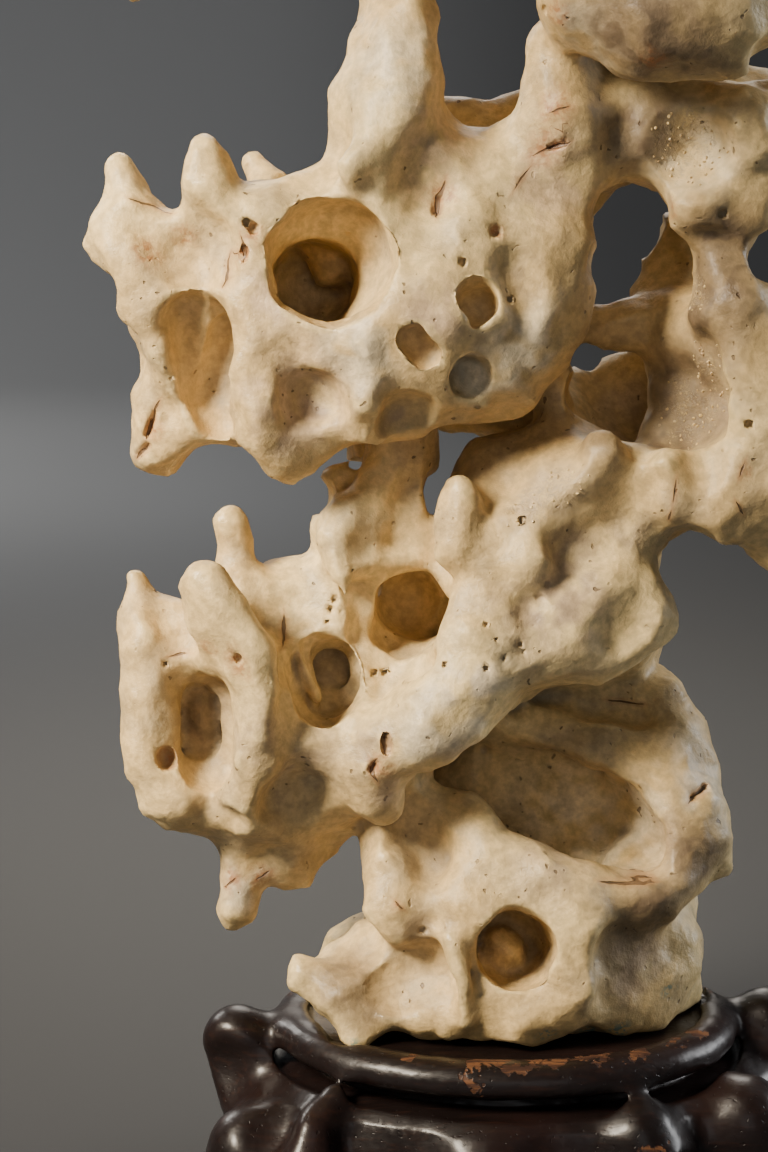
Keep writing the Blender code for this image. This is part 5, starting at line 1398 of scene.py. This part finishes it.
# %% Carved faces
def carved_front(stand):
    """Bosses and hollows of the front and the two sides, carved like a small cliff."""
    # bosses at the two ends, higher than the neck
    stand.add(9, (-76, -4, 36, 15), (-82, -6, 51, 11))
    stand.add(9, (78, 6, 38, 15), (82, 8, 52, 11))
    # a ridge that sweeps down from the neck, and the bosses beside it
    stand.add(8, (-52, -44, 45, 5), (-59, -50, 38, 8), (-60, -54, 26, 11), (-54, -56, 12, 12))
    stand.add(9, (-76, -34, 27, 14), (-80, -32, 12, 14))
    stand.add(9, (-8, -54, 28, 17), (-4, -56, 14, 15))
    stand.add(8, (37, -51, 38, 12), (44, -54, 22, 14), (40, -54, 10, 13))
    stand.add(9, (70, -34, 36, 14), (76, -32, 18, 15))
    # hollows between them, and the two small eyes that such a cliff has
    stand.cut(8, (-34, -73, 38, 13), (-30, -78, 20, 14))
    stand.cut(8, (14, -76, 40, 12), (18, -77, 20, 12))
    stand.cut(8, (58, -60, 26, 9), (60, -66, 10, 10))
    stand.cut(7, (-88, -20, 46, 9))
    stand.cut(7, (-72, -50, 42, 8))
    stand.cut(8, (96, -14, 26, 12))
    stand.cut(8, (-100, -10, 24, 12))
    stand.cut(3, (-22, -68, 16, 5), (-20, -54, 16, 4))
    stand.cut(3, (50, -70, 30, 4), (48, -58, 30, 4))


BACK_BOSSES = 5
FIRST_BOSS, BOSS_STEP = 22, 34  # degrees round the back, from the right
FEET = 7
FIRST_FOOT, FOOT_STEP = -64, 51.4


def carved_back(stand):
    """Broad bosses, every other one higher, with hollows between them round the back."""
    for turn in range(BACK_BOSSES):
        angle = math.radians(FIRST_BOSS + BOSS_STEP * turn)
        x, y = body_edge(angle)
        top = 30 + 8 * (turn % 2)
        stand.add(9, (0.84 * x, 0.82 * y, top, 14), (0.9 * x, 0.88 * y, 12, 14))
        x, y = body_edge(angle + math.radians(BOSS_STEP / 2))
        stand.cut(8, (1.1 * x, 1.14 * y, 34, 11), (1.12 * x, 1.18 * y, 16, 11))


def groove(stand):
    """The groove all round under the rim, cut last so that no boss fills it."""
    where, (x, y, z) = stand.everywhere()
    ring = np.sqrt(rim_oval(x, y, GROOVE_OFFSET) ** 2 + (z - GROOVE_HEIGHT) ** 2)
    stand.carve(where, ring - GROOVE_RADIUS, blend=2.0)


def feet(stand):
    """Arches under the edge that leave low feet between them."""
    for turn in range(FEET):
        x, y = body_edge(math.radians(FIRST_FOOT + FOOT_STEP * turn))
        stand.cut(3, (1.15 * x, 1.15 * y, -4, 13), (0.88 * x, 0.88 * y, -6, 12))

# %% Sculpt the stand
SLOT_INSIDE, SLOT_OUTSIDE = 2.5, 7.0  # the deep groove's ends, from the rim's middle line
SLOT_DROP = 0.6  # its middle below that of the shallow one
SLOT_HALF_HEIGHT = 1.7


def sculpt_stand():
    """The whole stand, with its seat cut to fit the stone and its feet cut off flat."""
    stand = Clay(STAND_LOW, STAND_HIGH, STAND_STEP, sighted=False)
    turned_body(stand)
    carved_front(stand)
    carved_back(stand)
    groove(stand)
    feet(stand)
    where, (x, y, z) = stand.everywhere()
    stone = sculpt_stone(STAND_LOW, STAND_HIGH, STAND_STEP)
    seat = np.maximum(rim_oval(x, y, -SEAT_INSET), SEAT_HEIGHT - z)
    stand.carve(where, seat, blend=0.5)
    cleared = np.maximum(stone.depth - FIT_GAP, SEAT_HEIGHT - z)
    stand.depth[where] = np.maximum(stand.depth[where], -cleared)
    stand.depth[where] = np.maximum(stand.depth[where], -z)
    return stand


def deepen_groove(stand):
    """Carves the groove through to the neck, so that its shade runs on behind every boss."""
    where, (x, y, z) = stand.everywhere()
    ring = np.maximum(-rim_oval(x, y, -SLOT_INSIDE), rim_oval(x, y, SLOT_OUTSIDE))
    slot = np.abs(z - GROOVE_HEIGHT + SLOT_DROP) - SLOT_HALF_HEIGHT
    stand.carve(where, np.maximum(ring, slot), blend=1.5)


stand_clay = sculpt_stand()
deepen_groove(stand_clay)
stand = skin(stand_clay, "carved_stand", STAND_FACES)
keep_hollows(stand, stand_clay, narrow=2.0, wide=7.0)
print(stand.name, "has", len(stand.data.polygons), "faces")

# %% [markdown]
# ## Where the lacquer is worn
#
# Lacquer wears off where the stone is lifted in and out, along the top of the rim in front, and
# on the bosses that stand out most. Those places are listed like the stains of the stone. The
# carver's gouge left faint flats, which the weathering tree makes with longer waves. The faces
# that the two pieces rest on are levelled again afterwards.

# %% Worn places
WORN = {
    "worn": ((-19, -48, 63, 5), (-8, -50, 63, 7), (4, -51, 63, 7), (14, -50, 63, 7),
        (24, -48, 63, 6), (36, -43, 63, 5), (50, -34, 63, 6), (57, -26, 63, 5), (-30, -47, 63, 4),
        (-10, -56, 56, 4), (44, -62, 36, 5), (38, -62, 38, 3), (-72, -45, 40, 4), (-30, 52, 62, 7),
        (10, 55, 62, 6), (-66, 14, 62, 5), (60, 50, 30, 6), (-40, 60, 34, 6), (86, 4, 54, 5)),
}
keep_stains(stand, stand_clay, WORN)
run_tree(stand, weathering, Wave_size=0.014, Wave_depth=0.0005, Dent_size=0.005,
    Dent_depth=0.00012, Seed=11.0)


def level(piece, height):
    """Lifts each point that weathering pushed below a height, in millimetres, back up to it."""
    points = points_of(piece)
    low = points[:, 2] < height
    points[low, 2] = height
    piece.data.vertices.foreach_set("co", (points * MM).ravel())
    piece.data.update()
    return int(low.sum())


toes, soles = level(stone, SEAT_HEIGHT + SEAT_GAP), level(stand, 0.0)
print("levelled", toes, "points of the toes and", soles, "of the feet")

# %% [markdown]
# ## Effects that both finishes use
#
# Stone and wood share three effects. Mottle gives soft patches of three sizes. Pores puts a pit
# wherever a fine noise peaks. Rubbed finds where a surface that stands out has been rubbed, with
# a torn edge. Each is one node group with its sizes as inputs, in metres, so that both materials
# use the same tree with their own values.

# %% Shared effects
PATCHES = (("Broad", 1.0), ("Middle", 0.25), ("Fine", 0.05))  # each patch's share of the size
PIT_EDGE = 0.07  # how softly a pore starts
RUB_EDGE = 0.18  # how softly a rubbed place starts


def group(name, inputs, outputs):
    """An empty node group for materials, whose numbers are given as names and values."""
    inputs = [(title, NUMBER, value) for title, value in inputs.items()]
    outputs = [(title, NUMBER) for title in outputs]
    do, given, result = new_tree(name, "ShaderNodeTree", inputs, outputs)
    place = do.add("ShaderNodeTexCoord", out="Object")
    return do, given, result, place


def mottle_group():
    """Soft patches of three sizes."""
    do, given, result, place = group("mottle", {"Size": 0.05, "Seed": 0.0}, dict(PATCHES))
    place = do.vector("ADD", place, do.add("ShaderNodeCombineXYZ", {"X": given["Seed"]}))
    for title, part in PATCHES:
        scale = do.math("DIVIDE", 1.0, do.math("MULTIPLY", given["Size"], part))
        inputs = {"Vector": place, "Scale": scale, "Detail": 1.0}
        do.fill(result[title], do.add("ShaderNodeTexNoise", inputs))
    return do.tree


def pores_group():
    """A pit wherever a fine noise peaks."""
    do, given, result, place = group("pores", {"Size": 0.002, "Start": 0.7}, ["Pit"])
    inputs = {"Vector": place, "Scale": do.math("DIVIDE", 1.0, given["Size"]), "Detail": 0.0}
    lumps = do.add("ShaderNodeTexNoise", inputs)
    pit = do.ramp(lumps, given["Start"], do.math("ADD", given["Start"], PIT_EDGE))
    do.fill(result["Pit"], pit)
    return do.tree


def rubbed_group():
    """Where a surface that stands out has been rubbed, with a torn edge."""
    inputs = {"Ridge": 0.0, "Start": 0.3, "Raggedness": 0.5, "Size": 0.004}
    do, given, result, place = group("rubbed", inputs, ["Mask"])
    inputs = {"Vector": place, "Scale": do.math("DIVIDE", 1.0, given["Size"]), "Detail": 2.0,
        "Roughness": 0.65}
    torn = do.math("SUBTRACT", do.add("ShaderNodeTexNoise", inputs), 0.5)
    torn = do.math("MULTIPLY", torn, given["Raggedness"])
    reach = do.math("ADD", given["Ridge"], torn)
    rubbed = do.ramp(reach, given["Start"], do.math("ADD", given["Start"], RUB_EDGE))
    do.fill(result["Mask"], rubbed)
    return do.tree


MOTTLE, PORES, RUBBED = mottle_group(), pores_group(), rubbed_group()


def place_group(do, tree, **values):
    """Places a node group in a material and hands back its outputs by name."""
    node = do.tree.nodes.new("ShaderNodeGroup")
    node.node_tree = tree
    for title, value in values.items():
        do.fill(node.inputs[title], value)
    return node.outputs


def new_material(name):
    """A material, the wiring of its nodes, and its shader."""
    material = bpy.data.materials.new(name)
    material.use_nodes = True
    do = Wiring(material.node_tree)
    return material, do, material.node_tree.nodes["Principled BSDF"]


def paint(piece, material):
    """Gives a piece this one material."""
    piece.data.materials.clear()
    piece.data.materials.append(material)
    print(material.name, "has", len(material.node_tree.nodes), "nodes")


def mask(do, name):
    """One of the numbers that are kept at the mesh's points."""
    return do.add("ShaderNodeAttribute", attribute_name=name, out="Fac")


print("groups:", [tree.name for tree in (MOTTLE, PORES, RUBBED)])

# %% [markdown]
# ## The stone's finish
#
# The finish starts from a cream that drifts to ivory, then lays the stains over it, some smoke and
# chalk places among them painted shade and painted light, honey brown in the hollows that is
# partly a stain and partly painted shade, pale ivory on the ridges as a painted highlight, and
# dark umber on top as painted shade where the light misses. Over that lie fine speckles, pores
# and cracks. The small relief is a height for a Bump node, in millimetres. The numbers of a ramp
# are where it starts and ends, then what it gives at its two ends.

# %% Stone colours
CREAM = (0.58, 0.41, 0.18)
IVORY = (0.71, 0.54, 0.255)
HONEY = (0.33, 0.262, 0.168)
AMBER = (0.45, 0.33, 0.19)
ROSE = (0.53, 0.375, 0.245)
# partly a grey-brown stain and partly painted shade in the dents
SMOKE_AND_SHADE = (0.20, 0.15, 0.12)
# painted shade: a dark brown for the places that the light misses
PAINTED_SHADE_BROWN = (0.17, 0.118, 0.066)
# partly a chalky tint and partly painted light in shaded hollows
CHALK_AND_LIGHT = (0.74, 0.64, 0.45)
RUST = (0.34, 0.13, 0.045)
CRACK = (0.055, 0.028, 0.014)
PUTTY = (0.10, 0.24, 0.22)


def stone_colour(do, place):
    """The base colour, and the masks that the relief and the gloss need too."""
    patch = place_group(do, MOTTLE, Size=0.06, Seed=2.0)
    spread = do.ramp(patch["Broad"], 0.38, 0.66)
    colour = do.blend(spread, CREAM, IVORY)
    colour = do.blend(do.ramp(patch["Middle"], 0.45, 0.75, 0.0, 0.5), colour, HONEY)
    torn = do.ramp(do.noise(place, 0.008, 1.0), 0.32, 0.6)

    def lay(name, tint, strength, evenness=0.0):
        """Lays a stain over the colour so far, painted light and shade included; an even one is
        less torn.
        """
        share = do.math("MULTIPLY", mask(do, name), do.math("MAXIMUM", torn, evenness))
        return do.blend(do.math("MULTIPLY", share, strength, clamp=True), colour, tint)

    colour = lay("rose", ROSE, 0.6)
    # honey brown in the hollows: partly a stain and partly painted shade
    hollow = mask(do, "hollow")
    hollow_stain_and_shade = do.math("MULTIPLY", do.ramp(hollow, 0.3, 1.0), do.math("MULTIPLY_ADD", torn, 0.3, 0.35))
    colour = do.blend(hollow_stain_and_shade, colour, HONEY)
    colour = lay("honey", AMBER, 0.9, 0.4)
    # chalk: partly chalky patches and partly painted light in shaded hollows
    colour = lay("chalk_and_light", CHALK_AND_LIGHT, 0.65)
    # smoke: partly a grey-brown stain and partly painted shade in the dents
    colour = lay("smoke_and_shade", SMOKE_AND_SHADE, 0.5)
    # painted highlight: ridges are painted paler ivory; their lower roughness further down is the
    # polish of hands
    rubbed = place_group(do, RUBBED, Ridge=mask(do, "ridge"), Start=0.25, Raggedness=0.35,
        Size=0.008)["Mask"]
    colour = do.blend(do.math("MULTIPLY", rubbed, 0.55), colour, IVORY)
    # painted shade: dark umber over the places that the light misses
    colour = lay("painted_shade", PAINTED_SHADE_BROWN, 1.0, 0.8)
    # honey brown in the nooks: partly a stain and partly painted shade
    colour = do.blend(do.ramp(mask(do, "nook"), 0.25, 0.9, 0.0, 0.55), colour, HONEY)
    speckle = do.noise(place, 0.0013, 2.0, 0.8)
    fine = do.ramp(patch["Fine"], 0.3, 0.7, 0.84, 1.10)
    specks = do.ramp(speckle, 0.3, 0.7, 0.90, 1.06)
    grain = do.math("MULTIPLY", fine, specks)
    tone = do.add("ShaderNodeCombineColor", {"Red": grain, "Green": grain, "Blue": grain})
    colour = do.blend(1.0, colour, tone, "MULTIPLY")
    return colour, rubbed, patch, speckle


def stone_material():
    """Waxy calcite with its stains, painted light and shade, sugary places, pores and cracks."""
    material, do, shader = new_material("weathered calcite")
    place = do.add("ShaderNodeTexCoord", out="Object")
    colour, rubbed, patch, speckle = stone_colour(do, place)

    # sugary places: pale crystals with brown between them
    sugar = do.math("MULTIPLY", mask(do, "sugar"), do.ramp(do.noise(place, 0.006, 1.0), 0.35, 0.6))
    gap = do.math("MULTIPLY", do.ramp(speckle, 0.5, 0.62), sugar)
    colour = do.blend(do.math("MULTIPLY", gap, 0.75), colour, HONEY)
    top = do.math("MULTIPLY", do.ramp(speckle, 0.35, 0.48, 1.0, 0.0), sugar)
    colour = do.blend(do.math("MULTIPLY", top, 0.5), colour, IVORY)

    # rust, in torn specks
    speckled = do.ramp(do.noise(place, 0.0022, 2.0, 0.7), 0.42, 0.62)
    rust = do.math("MULTIPLY", mask(do, "rust"), do.math("MULTIPLY_ADD", speckled, 0.75, 0.25))
    colour = do.blend(do.math("MULTIPLY", rust, 0.75, clamp=True), colour, RUST)
    putty = do.math("MULTIPLY", mask(do, "putty"), do.ramp(speckled, 0.3, 0.6))
    colour = do.blend(do.math("MULTIPLY", putty, 0.8), colour, PUTTY)

    # pores and cracks
    pit = place_group(do, PORES, Size=0.0019, Start=0.76)["Pit"]
    where_pitted = do.ramp(patch["Middle"], 0.5, 0.62)
    pit = do.math("MULTIPLY", pit, where_pitted)
    colour = do.blend(do.math("MULTIPLY", pit, 0.65), colour, CRACK)
    wobble = do.math("MULTIPLY", do.math("SUBTRACT", do.noise(place, 0.004, 1.0), 0.5), 1.1)
    offset = do.math("ABSOLUTE", do.math("ADD", mask(do, "crack_across"), wobble))
    inside = do.math("SUBTRACT", mask(do, "crack_width"), offset)
    crack = do.ramp(inside, -0.12, 0.1)
    halo = do.ramp(inside, -1.6, 0.1)
    colour = do.blend(do.math("MULTIPLY", halo, 0.35), colour, RUST)
    colour = do.blend(do.math("MULTIPLY", crack, 0.75), colour, CRACK)
    shader.inputs["Base Color"].default_value = (*CREAM, 1.0)
    do.fill(shader.inputs["Base Color"], colour)

    # gloss: waxy where rubbed, dull in hollows and sugary places
    gloss = do.math("MULTIPLY_ADD", patch["Fine"], 0.16, 0.40)
    gloss = do.math("SUBTRACT", gloss, do.math("MULTIPLY", rubbed, 0.10))
    gloss = do.math("ADD", gloss, do.math("MULTIPLY", mask(do, "hollow"), 0.12))
    gloss = do.math("ADD", gloss, do.math("MULTIPLY", sugar, 0.15), clamp=True)
    do.fill(shader.inputs["Roughness"], gloss)

    # relief in millimetres
    height = do.math("MULTIPLY", patch["Fine"], 0.28)
    height = do.math("MULTIPLY_ADD", speckle, 0.22, height)
    height = do.math("MULTIPLY_ADD", do.math("MULTIPLY", speckle, mask(do, "sugar")), -0.7, height)
    height = do.math("MULTIPLY_ADD", pit, -0.5, height)
    height = do.math("MULTIPLY_ADD", crack, -0.9, height)
    bump = do.add("ShaderNodeBump", {"Height": height, "Distance": MM, "Strength": 0.9})
    do.fill(shader.inputs["Normal"], bump)
    shader.inputs["Specular IOR Level"].default_value = 0.45
    return material


paint(stone, stone_material())

# %% [markdown]
# ## Crystals
#
# In the sugary places whole crystals stand up from the stone. They repeat and follow a surface,
# so Geometry Nodes scatter them: points on the faces, as dense as the stain says, a small rough
# grain on each, turned and sized at random from a fixed seed, and sunk half into the stone.

# %% Scatter the crystals
FULL_TURN = 6.28
GRAIN_FACES = 20  # of an ico sphere that isn't divided


def crystal_tree(material):
    """Small crystals scattered where the stone is sugary."""
    inputs = [("Stone", SHAPE, None), ("Density", NUMBER, 90000.0), ("Grain", NUMBER, 0.00055),
        ("Spacing", NUMBER, 0.0010), ("Seed", "NodeSocketInt", 4)]
    do, given, result = new_tree("crystals", "GeometryNodeTree", inputs, [("Crystals", SHAPE)])
    sugar = do.add("GeometryNodeInputNamedAttribute", {"Name": "sugar"})
    share = do.ramp(sugar, 0.25, 0.9)
    inputs = {"Mesh": given["Stone"], "Distance Min": given["Spacing"],
        "Density Max": given["Density"], "Density Factor": share, "Seed": given["Seed"]}
    dots = do.add("GeometryNodeDistributePointsOnFaces", inputs, distribute_method="POISSON")
    grain = do.add("GeometryNodeMeshIcoSphere", {"Radius": given["Grain"], "Subdivisions": 1})
    inputs = {"Min": (0.0, 0.0, 0.0), "Max": (FULL_TURN, FULL_TURN, FULL_TURN),
        "Seed": given["Seed"]}
    turn = do.add("FunctionNodeRandomValue", inputs, data_type="FLOAT_VECTOR")
    inputs = {"Min": (0.5, 0.5, 0.4), "Max": (1.3, 1.1, 1.2),
        "Seed": do.math("ADD", given["Seed"], 1.0)}
    size = do.add("FunctionNodeRandomValue", inputs, data_type="FLOAT_VECTOR")
    inputs = {"Points": dots, "Instance": grain, "Rotation": turn, "Scale": size}
    grains = do.add("GeometryNodeInstanceOnPoints", inputs)
    solid = do.add("GeometryNodeRealizeInstances", {"Geometry": grains})
    finished = do.add("GeometryNodeSetMaterial", {"Geometry": solid, "Material": material})
    do.fill(result["Crystals"], finished)
    return do.tree


def crystal_material():
    """Clear pale grains with some honey brown ones among them."""
    material, do, shader = new_material("calcite crystals")
    patch = place_group(do, MOTTLE, Size=0.012, Seed=7.0)
    colour = do.blend(do.ramp(patch["Middle"], 0.35, 0.65), AMBER, IVORY)
    colour = do.blend(do.ramp(patch["Fine"], 0.3, 0.7, 0.0, 0.5), colour, CREAM)
    do.fill(shader.inputs["Base Color"], colour)
    do.fill(shader.inputs["Roughness"], do.math("MULTIPLY_ADD", patch["Fine"], 0.3, 0.22))
    inputs = {"Height": patch["Fine"], "Distance": 0.2 * MM, "Strength": 0.6}
    do.fill(shader.inputs["Normal"], do.add("ShaderNodeBump", inputs))
    return material


crystals = stone.copy()
crystals.name = "sugar_crystals"
crystals.data = stone.data.copy()
bpy.context.scene.collection.objects.link(crystals)
run_tree(crystals, crystal_tree(crystal_material()), Seed=4)
crystals.data.name = crystals.name
crystals.data.shade_flat()
print(len(crystals.data.polygons) // GRAIN_FACES, "crystals")

# %% [markdown]
# ## The stand's finish
#
# The lacquer is so dark that its colour only shows as a red-brown tint in the light. It is
# glossy, with the carver's marks and faint grain below it. Where it is worn through, orange-brown
# wood shows with a torn edge, and a little grey dust lies in the nooks.

# %% Lacquered wood
LACQUER = (0.0060, 0.0036, 0.0034)
RED_LACQUER = (0.0125, 0.0060, 0.0052)
BARE_WOOD = (0.125, 0.052, 0.020)
DARK_WOOD = (0.030, 0.012, 0.007)
DUST = (0.13, 0.10, 0.08)
WOOD_GRAIN = (6.0, 60.0, 60.0)  # the grain is drawn out from left to right


def wood_material():
    """Nearly black lacquer over drawn grain, with worn edges and dust in its nooks."""
    material, do, shader = new_material("lacquered wood")
    place = do.add("ShaderNodeTexCoord", out="Object")
    patch = place_group(do, MOTTLE, Size=0.05, Seed=21.0)
    inputs = {"Vector": place, "Scale": WOOD_GRAIN}
    drawn = do.add("ShaderNodeMapping", inputs, vector_type="POINT")
    inputs = {"Vector": drawn, "Scale": 9.0, "Detail": 5.0, "Roughness": 0.6}
    grain = do.add("ShaderNodeTexNoise", inputs)
    colour = do.blend(do.ramp(patch["Broad"], 0.4, 0.7), LACQUER, RED_LACQUER)
    colour = do.blend(do.ramp(grain, 0.5, 0.75, 0.0, 0.4), colour, DARK_WOOD)

    # worn places: faint on every sharp edge, full where the stone is lifted in and out
    edge = place_group(do, RUBBED, Ridge=mask(do, "ridge"), Start=0.62, Raggedness=0.9,
        Size=0.010)["Mask"]
    bare_places = place_group(do, RUBBED, Ridge=mask(do, "worn"), Start=0.8, Raggedness=2.4,
        Size=0.0035)["Mask"]
    worn = do.math("MAXIMUM", do.math("MULTIPLY", edge, 0.5), bare_places)
    bare = do.blend(do.ramp(grain, 0.42, 0.62), DARK_WOOD, BARE_WOOD)
    colour = do.blend(worn, colour, bare)
    nook = do.ramp(mask(do, "nook"), 0.2, 0.9)
    patchy = do.ramp(patch["Middle"], 0.35, 0.7, 0.0, 0.16)
    dusty = do.math("MULTIPLY", nook, patchy)
    colour = do.blend(dusty, colour, DUST)
    pit = place_group(do, PORES, Size=0.0013, Start=0.74)["Pit"]
    colour = do.blend(do.math("MULTIPLY", pit, 0.5), colour, LACQUER)
    do.fill(shader.inputs["Base Color"], colour)

    # gloss, relief in millimetres, and the clear coat that worn places have lost
    gloss = do.math("MULTIPLY_ADD", patch["Fine"], 0.20, 0.28)
    gloss = do.math("MULTIPLY_ADD", worn, 0.25, gloss)
    gloss = do.math("MULTIPLY_ADD", dusty, 0.9, gloss, clamp=True)
    do.fill(shader.inputs["Roughness"], gloss)
    height = do.math("MULTIPLY", patch["Middle"], 0.35)
    height = do.math("MULTIPLY_ADD", grain, 0.12, height)
    height = do.math("MULTIPLY_ADD", patch["Fine"], 0.10, height)
    height = do.math("MULTIPLY_ADD", worn, -0.15, height)
    height = do.math("MULTIPLY_ADD", pit, -0.12, height)
    bump = do.add("ShaderNodeBump", {"Height": height, "Distance": MM, "Strength": 0.8})
    do.fill(shader.inputs["Normal"], bump)
    coat = do.math("SUBTRACT", 0.16, do.math("MULTIPLY", worn, 0.15), clamp=True)
    do.fill(shader.inputs["Coat Weight"], coat)
    shader.inputs["Coat Roughness"].default_value = 0.2
    shader.inputs["Specular IOR Level"].default_value = 0.28
    return material


paint(stand, wood_material())

# %% [markdown]
# ## The floor's finish
#
# The floor is pale paint. It darkens to grey behind the stand and runs into the wall's lighter
# grey over the sweep. That grey is painted lighter with the distance and painted darker to the
# right, away from the window, as painted light and shade. So the stone stands out against it.
# Both stay pale at the sides.

# %% Floor paint
PALE = (0.43, 0.46, 0.52)
FLOOR_GREY = (0.014, 0.015, 0.017)
WALL_GREY = (0.25, 0.26, 0.275)


def floor_material():
    """Pale paint that runs to grey behind the stand."""
    material, do, shader = new_material("studio floor")
    place = do.add("ShaderNodeTexCoord", out="Object")
    axes = do.add("ShaderNodeSeparateXYZ", {"Vector": place}).node.outputs
    # the grey begins just in front of the stand and ends at its two sides
    aside = do.ramp(do.math("ABSOLUTE", axes["X"]), 0.6, 1.8)
    back = do.math("SUBTRACT", do.ramp(axes["Y"], -0.42, 0.06), aside)
    cloud = do.ramp(do.noise(place, 0.7), 0.3, 0.7, 0.0, 0.12)
    # painted light and shade: the grey grows lighter with the distance, and less so to the right
    right = do.ramp(axes["X"], -0.25, 0.3, 1.0, 0.45)
    far = do.math("MULTIPLY", do.ramp(axes["Y"], 0.0, 1.55), right)
    grey = do.blend(far, FLOOR_GREY, WALL_GREY)
    colour = do.blend(do.math("ADD", back, cloud, clamp=True), PALE, grey)
    do.fill(shader.inputs["Base Color"], colour)
    do.fill(shader.inputs["Roughness"], do.ramp(cloud, 0.0, 0.12, 0.7, 0.85))
    return material


paint(floor, floor_material())

# %% [markdown]
# ## Handing the pieces over
#
# The fine stone and stand take the places of their solids, and everything, the crystals too,
# rides on the one body, since nothing moves.

# %% Hand over
for piece, slot in ((stone, "stone"), (crystals, "stone"), (stand, "wood")):
    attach(piece, "root")
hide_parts("stone")
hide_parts("stand")
